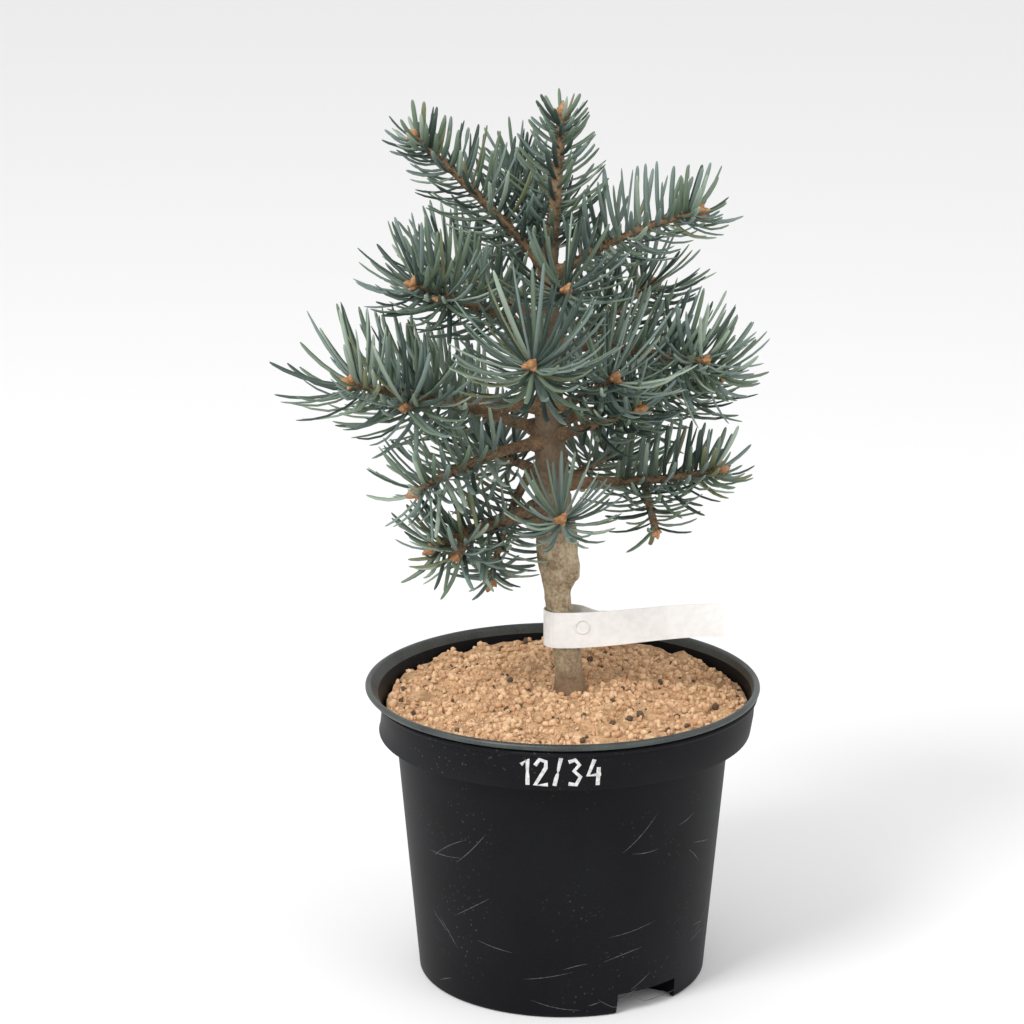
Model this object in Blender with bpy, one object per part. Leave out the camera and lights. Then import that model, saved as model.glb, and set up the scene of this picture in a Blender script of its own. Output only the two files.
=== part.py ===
"""Potted compact white fir in its black nursery pot, at real size in metres, +Z up.

The origin is the middle of the pot's flat underside. The plant's front faces -Y.
An azimuth is counted in degrees from the front (-Y) towards the right (+X).
"""

import math
import random
from collections import namedtuple

import bmesh
import bpy
import numpy as np
from mathutils import Matrix, Vector

MM = 0.001
UP = Vector((0, 0, 1))

# Clearance between neighbouring solids
GAP = 0.3 * MM

# Pot: a tapering body, a wider collar and a flared lip
POT_SIDES = 32
WALL = 1.6 * MM
FLOOR = 2.0 * MM
FOOT_RADIUS = 70 * MM
FOOT_ROUND = 2.0 * MM
BODY_TOP_RADIUS = 80.8 * MM
COLLAR_FOOT = 122.3 * MM
COLLAR_FOOT_RADIUS = 91.2 * MM
COLLAR_TOP = 141.6 * MM
COLLAR_TOP_RADIUS = 93.1 * MM
LIP_TOP = 146.1 * MM
LIP_RADIUS = 95.5 * MM
LIP_THICKNESS = 3.2 * MM
# The thin collar is pressed in at the left
DENT = 5 * MM

# Drain bays: round recesses in the foot, each with a hole in its roof
BAY_AZIMUTHS = (36.5, 146.0, 259.0)
BAY_CENTRE = 63 * MM
BAY_RADIUS = 18 * MM
BAY_HEIGHT = 10.5 * MM
BAY_SIDES = 16
DRAIN_CENTRE = 54 * MM
DRAIN_RADIUS = 4 * MM

# Potting mix: level round the trunk, lower at the pot's wall
SOIL_MIDDLE = 141.2 * MM
SOIL_SIDE = 134.8 * MM
SOIL_BACK = 138.2 * MM
SOIL_FRONT = 139.4 * MM
SOIL_RINGS = (10, 22, 36, 50, 64, 78)
SOIL_LEVEL_REACH = 24 * MM
SOIL_LUMP = 1.5 * MM

# Trunk: height, sideways place and radius in mm, from the soil to the last whorl
TRUNK = (
    (141.5, 3.6, 7.2),
    (147, 3.2, 6.7),
    (162, 1.9, 6.6),
    (181, -1.6, 6.3),
    (192, -2.6, 6.5),
    (199, -2.6, 8.0),
    (206, -2.6, 9.6),
    (219, -3.2, 9.9),
    (232, -4.4, 9.0),
    (246, -5.4, 8.1),
    (271, -6.4, 7.0),
    (295, -6.9, 6.3),
    (320, -7.5, 5.4),
    (344, -7.1, 4.3),
    (360, -6.2, 3.5),
)
TRUNK_SIDES = 12
TRUNK_STEP = 8.5 * MM
# The healed lip of the graft stands out of the trunk's right front
GRAFT_HEIGHT = 201 * MM
GRAFT_REACH = 6.5 * MM
GRAFT_AZIMUTH = 62.0
GRAFT_BULGE = 2.6 * MM

# Label: a strip looped round the trunk, with its long end to the right
LABEL_THICKNESS = 0.55 * MM
LABEL_LOOP_TOP = 182.5 * MM
LABEL_LOOP_FOOT = 164.8 * MM
LABEL_END_TOP = 188.2 * MM
LABEL_END_FOOT = 171.8 * MM
LABEL_BEND = 7.3 * MM
LABEL_LOOP_LEFT = -1.7 * MM
LABEL_LAP = 21 * MM
LABEL_END = 77.5 * MM
LABEL_END_DEPTH = -9.5 * MM

# Needles: three-sided, arching up, fewer and wider than in life
NEEDLE_WIDTH = 4.2 * MM
NEEDLE_THICKNESS = 1.5 * MM
NEEDLE_SPACING = 3.1 * MM
ROSETTE = 8
ROSETTE_LENGTH = 9 * MM
NEEDLE_ROOT_DEPTH = 1.1 * MM
SHORTENINGS = (1.0, 0.84, 0.68, 0.54)
NUDGES = (0, 22, -22, 44, -44)
SPACE_MARGIN = 4.6 * MM
LIMB_MARGIN = 2.7 * MM
CROWDING = 3.0 * MM
GOLDEN_ANGLE = 137.508
SEED = 5
# Other draws tried where the needles of a mass do not fuse into one closed solid
ATTEMPTS = 16
# Cuts closer together than this become one point
WELD = 0.04 * MM

# Shoots. root: height on the trunk. azimuth, reach and rise: where the tip lies from
# the root. arch: how far the middle bows up. bare: length of the bough before its
# foliage. thick: radius of the bough at the trunk. needle: length of its needles.
# tip: their length at the tip, as a share of that. twigs: share along the stem, turn
# in degrees, rise in degrees and length of each side twig. Lengths are in mm.
Shoot = namedtuple("Shoot", "name root azimuth reach rise arch bare thick needle tip twigs")
SHOOTS = (
    Shoot("upper_left", 352, 277, 63, 60, 2, 9, 3.1, 34, 0.55, ()),
    Shoot("upper_right", 347, 77, 71, 32, 4, 10, 3.1, 34, 0.7, ()),
    Shoot("upper_back", 344, 200, 50, 46, 2, 10, 3.0, 34, 0.7, ()),
    Shoot("upper_front", 338, 13, 37, 8, -1, 9, 2.8, 38, 1.0, ()),
    Shoot("left_high", 318, 303, 73, 31, 2, 18, 3.2, 38, 0.9, ((0.6, 40, 8, 18),)),
    Shoot("front_centre", 296, 355, 84, 26, -2, 26, 3.4, 47, 1.0, ()),
    Shoot("right_front", 284, 35, 51, 22, -1, 15, 3.0, 44, 1.0, ()),
    Shoot("right_high", 312, 84, 82, -11, 4, 22, 3.2, 38, 0.8, ((0.6, -42, 8, 20),)),
    Shoot("back_left_high", 323, 225, 72, 15, 2, 18, 3.2, 39, 0.9, ()),
    Shoot("back_right_high", 301, 140, 76, 29, 2, 18, 3.2, 39, 0.9, ()),
    Shoot("left_long", 284, 296, 101, 20, -3, 34, 3.6, 43, 1.0, ((0.4, 42, 2, 24),)),
    Shoot("left_back", 272, 253, 78, 16, -1, 24, 3.2, 39, 0.9, ()),
    Shoot("back_middle", 286, 182, 84, 14, -2, 24, 3.4, 40, 1.0, ()),
    Shoot("right_back", 276, 118, 80, 8, -1, 24, 3.2, 39, 0.9, ((0.5, 40, 4, 20),)),
    Shoot("right_middle", 270, 50, 53, 19, 0, 17, 2.8, 34, 0.8, ()),
    Shoot("left_low", 266, 306, 76, -13, 3, 24, 3.2, 36, 0.8, ()),
    Shoot("right_low", 246, 78, 80, 10, -2, 24, 3.2, 33, 0.7, ((0.27, -50, -60, 25),)),
    Shoot("front_low", 226, 4, 44, 13, 0, 16, 2.8, 33, 1.0, ()),
    Shoot("left_lowest", 232, 295, 62, -12, 2, 18, 4.8, 33, 0.8, ((0.5, 44, -24, 18),)),
    Shoot("left_hanging", 252, 274, 29, -54, 8, 20, 2.8, 30, 0.8, ()),
    Shoot("back_left_low", 248, 212, 66, -2, 1, 20, 3.0, 36, 0.9, ()),
    Shoot("back_right_low", 242, 150, 64, 4, 1, 18, 3.0, 36, 0.9, ()),
)
LEADER_TIP = (-1.2, 1.0, 421)
LEADER_NEEDLE = 32
LEADER_TIP_SHARE = 0.5

BOUGH_SIDES = 6
BOUGH_STEP = 9 * MM
# The stem of a mass starts at this share of its bough's first radius
STEM_SHARE = 0.74
TWIG_SIDES = 3
STEM_STEP = 18 * MM


def clear_scene():
    for thing in list(bpy.data.objects):
        bpy.data.objects.remove(thing)


def make_material(name, colour, roughness):
    material = bpy.data.materials.new(name)
    material.use_nodes = True
    shader = material.node_tree.nodes["Principled BSDF"]
    shader.inputs["Base Color"].default_value = (*colour, 1.0)
    shader.inputs["Roughness"].default_value = roughness
    shader.inputs["Metallic"].default_value = 0.0
    return material


def add_object(name, bm, material, sharp_angle=40.0):
    """Put a finished bmesh into the scene as one named object."""
    bmesh.ops.recalc_face_normals(bm, faces=bm.faces)
    mesh = bpy.data.meshes.new(name)
    bm.to_mesh(mesh)
    bm.free()
    mesh.materials.append(material)
    mesh.shade_smooth()
    mesh.set_sharp_from_angle(angle=math.radians(sharp_angle))
    thing = bpy.data.objects.new(name, mesh)
    bpy.context.scene.collection.objects.link(thing)
    return thing


def combine(target, tool, operation, solver="EXACT"):
    """Join, cut or intersect target with tool, apply it and remove the tool."""
    modifier = target.modifiers.new(operation.lower(), "BOOLEAN")
    modifier.operation = operation
    modifier.solver = solver
    if isinstance(tool, bpy.types.Collection):
        modifier.operand_type = "COLLECTION"
        modifier.collection = tool
        tools = list(tool.objects)
    else:
        modifier.object = tool
        tools = [tool]
    graph = bpy.context.evaluated_depsgraph_get()
    result = bpy.data.meshes.new_from_object(target.evaluated_get(graph))
    target.modifiers.clear()
    target.data = result
    for used in tools:
        bpy.data.objects.remove(used)


def outward(azimuth):
    """Level direction at an azimuth in degrees from the front towards +X."""
    turn = math.radians(azimuth)
    return Vector((math.sin(turn), -math.cos(turn), 0))


def smooth_step(value, low, high):
    share = min(max((value - low) / (high - low), 0.0), 1.0)
    return share * share * (3 - 2 * share)


def spun(profile, sides):
    """Closed solid turned about Z from (radius, height) points."""
    bm = bmesh.new()
    points = [bm.verts.new((radius, 0, height)) for radius, height in profile]
    edges = [bm.edges.new(pair) for pair in zip(points, points[1:])]
    bmesh.ops.spin(bm, geom=points + edges, axis=UP, cent=(0, 0, 0), steps=sides,
                   angle=math.tau, use_merge=True)
    bmesh.ops.remove_doubles(bm, verts=bm.verts, dist=0.01 * MM)
    return bm


def arc(centre, radius, start, end, steps):
    """Points of an arc in the profile plane, its angles in degrees from +radius."""
    turns = [math.radians(start + (end - start) * k / steps) for k in range(steps + 1)]
    return [(centre[0] + radius * math.cos(t), centre[1] + radius * math.sin(t)) for t in turns]


def dent_collar(point):
    """Press the collar in at the left, between its foot and the lip."""
    across = Vector((point[0], point[1], 0))
    if across.length < BODY_TOP_RADIUS:
        return point
    side = max(-across.normalized().x, 0.0) ** 5
    low = smooth_step(point[2], COLLAR_FOOT - 3 * MM, COLLAR_FOOT + 5 * MM)
    high = 1 - smooth_step(point[2], COLLAR_TOP - 4 * MM, LIP_TOP - MM)
    return point - across.normalized() * DENT * side * low * high


def outer_profile():
    lip_round = LIP_THICKNESS / 2
    lip_centre = (LIP_RADIUS - lip_round, LIP_TOP - lip_round)
    points = [(0, 0)]
    points += arc((FOOT_RADIUS - FOOT_ROUND, FOOT_ROUND), FOOT_ROUND, -90, 0, 2)
    points += [
        (BODY_TOP_RADIUS, COLLAR_FOOT),
        (COLLAR_FOOT_RADIUS - MM, COLLAR_FOOT),
        (COLLAR_FOOT_RADIUS, COLLAR_FOOT + 1.2 * MM),
        (COLLAR_TOP_RADIUS - 0.5 * MM, (COLLAR_FOOT + COLLAR_TOP) / 2),
        (COLLAR_TOP_RADIUS, COLLAR_TOP),
        (LIP_RADIUS - 0.4 * MM, COLLAR_TOP + MM),
    ]
    points += arc(lip_centre, lip_round, 0, 180, 4)
    return points


def inner_profile():
    """The pot's inner wall, from under the lip down to the middle of its floor."""
    return [
        (COLLAR_TOP_RADIUS - WALL, COLLAR_TOP),
        (COLLAR_TOP_RADIUS - 0.5 * MM - WALL, (COLLAR_FOOT + COLLAR_TOP) / 2),
        (COLLAR_FOOT_RADIUS - WALL, COLLAR_FOOT + WALL),
        (BODY_TOP_RADIUS - WALL, COLLAR_FOOT + WALL),
        (FOOT_RADIUS - WALL, FLOOR + FOOT_ROUND),
        (FOOT_RADIUS - WALL - FOOT_ROUND, FLOOR),
        (0, FLOOR),
    ]


def upright_cylinder(azimuth, centre, radius, low, high, sides, name):
    """A plain upright cylinder, used to cut or to line a bay."""
    bm = bmesh.new()
    middle = outward(azimuth) * centre + UP * (low + high) / 2
    bmesh.ops.create_cone(bm, cap_ends=True, segments=sides, radius1=radius, radius2=radius,
                          depth=high - low, matrix=Matrix.Translation(middle))
    thing = add_object(name, bm, None)
    thing.hide_render = True
    thing.display_type = "WIRE"
    return thing


def make_pot(plastic):
    bm = spun(outer_profile() + inner_profile(), POT_SIDES)
    for vert in bm.verts:
        vert.co = dent_collar(vert.co)
    pot = add_object("pot", bm, plastic)
    middle_of_wall = [
        (0, FLOOR / 2),
        (FOOT_RADIUS - WALL / 2 - FOOT_ROUND, FLOOR / 2),
        (FOOT_RADIUS - WALL / 2, FOOT_ROUND + FLOOR / 2),
        (BODY_TOP_RADIUS - WALL / 2, COLLAR_FOOT),
        (0, COLLAR_FOOT),
    ]
    for azimuth in BAY_AZIMUTHS:
        lining = upright_cylinder(azimuth, BAY_CENTRE, BAY_RADIUS + WALL, 0.7 * MM,
                                  BAY_HEIGHT + WALL, BAY_SIDES, "bay_lining")
        envelope = add_object("envelope", spun(middle_of_wall, POT_SIDES), None)
        combine(lining, envelope, "INTERSECT")
        combine(pot, lining, "UNION")
        bay = upright_cylinder(azimuth, BAY_CENTRE, BAY_RADIUS, -5 * MM, BAY_HEIGHT,
                               BAY_SIDES, "bay")
        combine(pot, bay, "DIFFERENCE")
        drain = upright_cylinder(azimuth, DRAIN_CENTRE, DRAIN_RADIUS, BAY_HEIGHT - MM,
                                 BAY_HEIGHT + 3 * WALL, 8, "drain")
        combine(pot, drain, "DIFFERENCE")
    return pot


def soil_height(point):
    """Height of the potting mix at a place inside the pot."""
    radius = math.hypot(point.x, point.y)
    side = point.x / max(radius, MM)
    ahead = -point.y / max(radius, MM)
    edge = SOIL_SIDE + (SOIL_FRONT - SOIL_SIDE) * max(ahead, 0) ** 2
    edge += (SOIL_BACK - SOIL_SIDE) * max(-ahead, 0) ** 2
    slope = smooth_step(radius, 30 * MM, 90 * MM)
    height = SOIL_MIDDLE + (edge - SOIL_MIDDLE) * slope
    lump = math.sin(point.x * 95 + 1.3) * math.sin(point.y * 120 + side)
    lump += 0.6 * math.sin(point.x * 210 + point.y * 60) * math.cos(point.y * 240)
    away = (point - Vector((TRUNK[0][1] * MM, 0, 0))).to_2d().length
    height += SOIL_LUMP * lump * smooth_step(away, SOIL_LEVEL_REACH, SOIL_LEVEL_REACH + 12 * MM)
    return min(height, SOIL_MIDDLE) if away < SOIL_LEVEL_REACH else height


def make_soil(mix):
    """Potting mix that fills the pot, clear of its wall and of the bays' linings."""
    wall = [(max(radius - GAP, 0), height + GAP) for radius, height in inner_profile()]
    upper, middle = wall[0], wall[1]
    top = [(radius * MM, LIP_TOP) for radius in (0, *SOIL_RINGS)] + [(upper[0], LIP_TOP)]
    bm = spun(top + wall[1:], POT_SIDES)
    slope = (upper[0] - middle[0]) / (upper[1] - middle[1])
    for vert in bm.verts:
        if vert.co.z > LIP_TOP - 0.01 * MM:
            vert.co.z = soil_height(vert.co)
            radius = vert.co.to_2d().length
            fitting = middle[0] + slope * (vert.co.z - middle[1])
            if radius > fitting:
                vert.co.x *= fitting / radius
                vert.co.y *= fitting / radius
        vert.co = dent_collar(vert.co)
    soil = add_object("soil", bm, mix, sharp_angle=60)
    for azimuth in BAY_AZIMUTHS:
        room = upright_cylinder(azimuth, BAY_CENTRE, BAY_RADIUS + WALL + GAP, -MM,
                                BAY_HEIGHT + WALL + GAP, BAY_SIDES, "bay_room")
        combine(soil, room, "DIFFERENCE")
    return soil


def ring_matrix(centre, along, across, half_width, half_height):
    """Matrix that lays a unit circle as one cross-section of a limb."""
    along = along.normalized()
    across = (across - along * across.dot(along)).normalized()
    above = along.cross(across)
    turn = Matrix((across * half_width, above * half_height, along * MM)).transposed()
    return Matrix.Translation(centre) @ turn.to_4x4()


def limb(rings, sides, tip=None, first_angle=0.0):
    """Solid drawn out of one circle through its rings, to a point if a tip is given."""
    bm = bmesh.new()
    turn = Matrix.Rotation(math.radians(first_angle), 4, "Z")
    made = bmesh.ops.create_circle(bm, cap_ends=True, segments=sides, radius=1.0, matrix=turn)
    verts = made["verts"]
    face = bm.faces[:][0]
    bmesh.ops.transform(bm, matrix=rings[0], verts=verts)
    inner_faces = []
    for before, after in zip(rings, rings[1:]):
        inner_faces.append(face)
        drawn = bmesh.ops.extrude_face_region(bm, geom=[face])["geom"]
        face = next(item for item in drawn if isinstance(item, bmesh.types.BMFace))
        verts = [item for item in drawn if isinstance(item, bmesh.types.BMVert)]
        bmesh.ops.transform(bm, matrix=after @ before.inverted(), verts=verts)
    if tip is not None:
        inner_faces.append(face)
        drawn = bmesh.ops.extrude_face_region(bm, geom=[face])["geom"]
        verts = [item for item in drawn if isinstance(item, bmesh.types.BMVert)]
        bmesh.ops.pointmerge(bm, verts=verts, merge_co=tip)
    bmesh.ops.delete(bm, geom=inner_faces[1:], context="FACES_ONLY")
    return bm


def path_frames(points, first_along=None, last_along=None):
    """Direction and side of a path at each of its points, carried along untwisted."""
    frames = []
    across = None
    for index in range(len(points)):
        before = points[max(index - 1, 0)]
        after = points[min(index + 1, len(points) - 1)]
        along = (after - before).normalized()
        if index == 0 and first_along is not None:
            along = first_along
        if index == len(points) - 1 and last_along is not None:
            along = last_along
        if across is None:
            across = Vector((1, 0, 0)) if abs(along.z) > 0.9 else along.cross(UP)
        across = (across - along * across.dot(along)).normalized()
        frames.append((along, across))
    return frames


def path_rings(points, radii, frames):
    rows = zip(points, radii, frames)
    return [ring_matrix(point, along, across, radius, radius)
            for point, radius, (along, across) in rows]


def trunk_at(height):
    """Middle and radius of the trunk at a height, on a smooth curve through TRUNK."""
    heights = [row[0] * MM for row in TRUNK]
    height = min(max(height, heights[0]), heights[-1])
    index = max(k for k, value in enumerate(heights[:-1]) if value <= height)
    share = (height - heights[index]) / (heights[index + 1] - heights[index])
    rows = [TRUNK[min(max(index + k, 0), len(TRUNK) - 1)] for k in (-1, 0, 1, 2)]
    place, radius = (catmull([row[column] for row in rows], share) * MM for column in (1, 2))
    return Vector((place, 0, height)), radius


def catmull(values, share):
    """Value of a Catmull-Rom curve between the second and third of four values."""
    a, b, c, d = values
    slope = (c - a) * share
    bend = (2 * a - 5 * b + 4 * c - d) * share ** 2
    turn = (3 * b - a - 3 * c + d) * share ** 3
    return 0.5 * (2 * b + slope + bend + turn)


def make_trunk(bark):
    foot, top = TRUNK[0][0] * MM, TRUNK[-1][0] * MM
    count = round((top - foot) / TRUNK_STEP)
    heights = [foot + (top - foot) * k / count for k in range(count + 1)]
    rows = [trunk_at(height) for height in heights]
    rings = [ring_matrix(middle, UP, Vector((1, 0, 0)), radius, radius) for middle, radius in rows]
    bm = limb(rings, TRUNK_SIDES)
    side = outward(GRAFT_AZIMUTH)
    for vert in bm.verts:
        middle, radius = trunk_at(vert.co.z)
        facing = max((vert.co - middle).normalized().dot(side), 0)
        near = 1 - smooth_step(abs(vert.co.z - GRAFT_HEIGHT), 0, GRAFT_REACH + 4 * MM)
        vert.co += side * GRAFT_BULGE * facing ** 2 * near
    return add_object("trunk", bm, bark)


def label_path():
    """The strip's line seen from above: long end, front, round the trunk, tucked end."""
    front = -LABEL_BEND
    points = []
    steps = 8
    for k in range(steps + 1):
        share = k / steps
        x = LABEL_END + (LABEL_LAP - LABEL_END) * share
        points.append((x, front + (LABEL_END_DEPTH - front) * (1 - share) ** 1.5))
    points += [(12 * MM, front), (5 * MM, front)]
    turns = 10
    for k in range(turns + 1):
        angle = math.radians(-90 - 180 * k / turns)
        points.append((LABEL_LOOP_LEFT + LABEL_BEND * math.cos(angle), LABEL_BEND * math.sin(angle)))
    tucked = front + LABEL_THICKNESS + GAP
    points += [(5 * MM, LABEL_BEND), (9.5 * MM, 4.6 * MM), (14.5 * MM, -2.6 * MM)]
    points += [(17.5 * MM, tucked + 0.5 * MM), (LABEL_LAP, tucked)]
    return [Vector((x, y, 0)) for x, y in points]


def make_label(film):
    """A thin strip: each cross-section is an upright rectangle on the path."""
    path = label_path()
    bm = bmesh.new()
    loops = []
    for index, point in enumerate(path):
        before = path[max(index - 1, 0)]
        after = path[min(index + 1, len(path) - 1)]
        across = (after - before).normalized().cross(UP) * LABEL_THICKNESS / 2
        share = smooth_step(point.x, 0, LABEL_END) if point.x > 0 else 0
        top = LABEL_LOOP_TOP + (LABEL_END_TOP - LABEL_LOOP_TOP) * share
        foot = LABEL_LOOP_FOOT + (LABEL_END_FOOT - LABEL_LOOP_FOOT) * share
        corners = [point - across, point + across]
        ring = [bm.verts.new(corner + UP * foot) for corner in corners]
        ring += [bm.verts.new(corner + UP * top) for corner in reversed(corners)]
        loops.append([bm.edges.new(pair) for pair in zip(ring, ring[1:] + ring[:1])])
    for first, second in zip(loops, loops[1:]):
        bmesh.ops.bridge_loops(bm, edges=first + second)
    bmesh.ops.holes_fill(bm, edges=loops[0] + loops[-1], sides=4)
    return add_object("label", bm, film)


def bezier(points, share):
    start, control, end = points
    rest = 1 - share
    return start * rest * rest + control * 2 * rest * share + end * share * share


def bezier_direction(points, share):
    start, control, end = points
    return ((control - start) * (1 - share) + (end - control) * share).normalized()


def shoot_curve(shoot):
    """Start, control and end point of a shoot's middle line, from the trunk's skin."""
    middle, radius = trunk_at(shoot.root * MM)
    out = outward(shoot.azimuth)
    start = middle + out * (radius + GAP)
    end = middle + out * shoot.reach * MM + UP * shoot.rise * MM
    return start, (start + end) / 2 + UP * 2 * shoot.arch * MM, end


def curve_points(curve, low, high, step):
    length = (curve[2] - curve[0]).length
    count = max(round(length * (high - low) / step), 2)
    return [bezier(curve, low + (high - low) * k / count) for k in range(count + 1)]


# A twig's middle line, with a radius and a frame at each of its points
Twig = namedtuple("Twig", "points radii frames")


def make_bough(shoot, bark):
    """The bare, tapering limb of a shoot, from the trunk to where its foliage starts."""
    curve = shoot_curve(shoot)
    share = shoot.bare * MM / (curve[2] - curve[0]).length
    points = curve_points(curve, 0, share, BOUGH_STEP)
    last = len(points) - 1
    radii = [shoot.thick * MM * (1 - (1 - STEM_SHARE) * k / last) for k in range(last + 1)]
    radii[0] *= 1.15
    frames = path_frames(points, outward(shoot.azimuth), bezier_direction(curve, share))
    bm = limb(path_rings(points, radii, frames), BOUGH_SIDES)
    add_object("bough_" + shoot.name, bm, bark)
    return Twig(points, radii, frames)


def shoot_twigs(shoot):
    """The stem and the side twigs of the mass that a shoot's bough carries."""
    curve = shoot_curve(shoot)
    start = (shoot.bare * MM + GAP) / (curve[2] - curve[0]).length
    points = curve_points(curve, start, 1, STEM_STEP)
    direction = bezier_direction(curve, start)
    return stem_with_twigs(points, shoot.thick * STEM_SHARE * MM, shoot.twigs, direction)


def stem_with_twigs(points, radius, side_twigs, first_along=None):
    last = len(points) - 1
    radii = [radius * (1 - 0.3 * k / last) for k in range(last)] + [radius * 0.95]
    twigs = [Twig(points, radii, path_frames(points, first_along))]
    for share, turn, rise, length in side_twigs:
        place = share * last
        index = int(place)
        start = points[index].lerp(points[index + 1], place - index)
        along = (points[index + 1] - points[index]).normalized()
        level = Matrix.Rotation(math.radians(turn), 3, "Z") @ Vector((along.x, along.y, 0))
        tilt = math.radians(rise)
        heading = level.normalized() * math.cos(tilt) + UP * math.sin(tilt)
        side = [start, start + heading * length * MM]
        twigs.append(Twig(side, [radius * 0.75, radius * 0.8], path_frames(side)))
    return twigs


def segments_of(twigs):
    """All pieces of some middle lines, as arrays of starts and ends."""
    starts = [point for twig in twigs for point in twig.points[:-1]]
    ends = [point for twig in twigs for point in twig.points[1:]]
    return np.array(starts), np.array(ends)


def distance(points, segments):
    """Least distance of each point from a set of segments."""
    starts, ends = segments
    runs = ends - starts
    away = points[:, None, :] - starts[None, :, :]
    share = (away * runs).sum(2) / (runs * runs).sum(1)
    near = starts + np.clip(share, 0, 1)[:, :, None] * runs
    return np.linalg.norm(points[:, None, :] - near, axis=2).min(1)


def has_room(line, own, others, limbs, grown):
    """Whether a needle keeps to its mass's space, clear of limbs and other needles."""
    points = []
    for start, end in zip(line, line[1:]):
        points += [start.lerp(end, k / 4) for k in range(1, 5)]
    points = np.array(points)
    to_own = distance(points, own)
    to_others = distance(points, others)
    if (to_others - to_own < SPACE_MARGIN).any() or (to_others < 2 * LIMB_MARGIN).any():
        return False
    for segments, radius in limbs:
        if (distance(points, segments) < radius + LIMB_MARGIN).any():
            return False
    if grown:
        near = np.array([a for a, _, _ in grown] + [b for _, b, _ in grown])
        far = np.array([b for _, b, _ in grown] + [c for _, _, c in grown])
        if (distance(points[2:], (near, far)) < CROWDING).any():
            return False
    return bool((points[:, 2] > LABEL_END_TOP + 3 * MM).all())


def growing_places(twig, is_stem, length, tip):
    """Distance along a twig, spread and length of each of its needles."""
    run = sum((b - a).length for a, b in zip(twig.points, twig.points[1:]))
    rosette = ROSETTE if is_stem else ROSETTE - 3
    zone = min(ROSETTE_LENGTH, run * 0.4)
    count = max(int((run - zone) / NEEDLE_SPACING), 1)
    for index in range(count):
        share = (index + 0.5) / count
        shorter = 1 - (1 - tip) * max(share - 0.4, 0) / 0.6
        yield (run - zone) * share, 76 - 8 * share, length * shorter * min(0.8 + share, 1)
    for index in range(rosette):
        share = (index + 0.5) / rosette
        yield run - zone * (1 - share) - 0.9 * MM, 72 - 34 * share * share, length * tip


def needle_lines(twigs, length, tip, chance, own, others, limbs):
    """Needles of a mass, each as three points, set round the twigs by a golden angle."""
    lines = []
    for twig in twigs:
        turn = chance.uniform(0, 360)
        for place, spread, full in growing_places(twig, twig is twigs[0], length, tip):
            turn += GOLDEN_ANGLE
            full *= chance.uniform(0.9, 1.04) * MM
            lift = chance.uniform(0.5, 0.8)
            tries = ((cut, nudge) for cut in SHORTENINGS for nudge in NUDGES)
            for cut, nudge in tries:
                line = needle_line(twig, place, turn + nudge, spread, full * cut, lift)
                if has_room(line, own, others, limbs, lines):
                    lines.append(line)
                    break
    return lines


def needle_line(twig, place, turn, spread, length, lift):
    """A needle sunk into the middle of a twig's face, arching up from it."""
    index = 0
    while index < len(twig.points) - 2:
        step = (twig.points[index + 1] - twig.points[index]).length
        if place < step:
            break
        place -= step
        index += 1
    start, end = twig.points[index], twig.points[index + 1]
    share = min(place / (end - start).length, 1)
    along, across = twig.frames[index]
    above = along.cross(across)
    angle = math.radians(turn)
    radial = across * math.cos(angle) + above * math.sin(angle)
    if radial.z < 0:
        radial.z *= 0.5
        radial.normalize()
    faces = [math.radians(60 + 120 * k) for k in range(TWIG_SIDES)]
    normals = [across * math.cos(a) + above * math.sin(a) for a in faces]
    normal = max(normals, key=radial.dot)
    radius = twig.radii[index] * (1 - share) + twig.radii[index + 1] * share
    opening = math.radians(spread)
    heading = along * math.cos(opening) + radial * math.sin(opening)
    root = start.lerp(end, share) + normal * radius / 2 - heading * NEEDLE_ROOT_DEPTH
    middle = root + heading * length * 0.5
    bent = (heading + UP * lift + along * 0.1).normalized()
    return root, middle, middle + bent * length * 0.5


def needle_rings(line):
    """Cross-sections of a needle: narrow root, full width, blunt tip."""
    root, middle, tip = line
    first = (middle - root).normalized()
    last = (tip - middle).normalized()
    across = first.cross(UP)
    if across.length < 0.2:
        across = first.cross(Vector((0, 1, 0)))
    half, thick = NEEDLE_WIDTH / 2, NEEDLE_THICKNESS / 2
    return [
        ring_matrix(root, first, across, half * 0.34, thick * 0.6),
        ring_matrix(middle, (first + last).normalized(), across, half, thick),
        ring_matrix(tip, last, across, half * 0.5, thick * 0.5),
    ]


def largest_shell(mesh, weld):
    """The biggest shell of a mesh, its slivers welded, without scraps or sealed hollows."""
    bm = bmesh.new()
    bm.from_mesh(mesh)
    if weld:
        bmesh.ops.remove_doubles(bm, verts=bm.verts, dist=weld)
        bmesh.ops.dissolve_degenerate(bm, edges=bm.edges, dist=weld / 4)
    waiting = set(bm.faces)
    shells = []
    while waiting:
        shell = [waiting.pop()]
        for face in shell:
            near = {other for edge in face.edges for other in edge.link_faces} & waiting
            waiting -= near
            shell += near
        shells.append(shell)
    shells.sort(key=len)
    loose = [face for shell in shells[:-1] for face in shell]
    bmesh.ops.delete(bm, geom=loose, context="FACES")
    bmesh.ops.triangulate(bm, faces=bm.faces)
    return bm


def is_closed(bm):
    return all(len(edge.link_faces) == 2 for edge in bm.edges)


def tidy_solid(thing):
    """Leave a fused mass as one closed shell, and say if that worked."""
    for weld in (WELD, WELD / 8, 0):
        bm = largest_shell(thing.data, weld)
        closed = is_closed(bm)
        if closed:
            bm.to_mesh(thing.data)
        bm.free()
        if closed:
            return True
    return False


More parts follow.
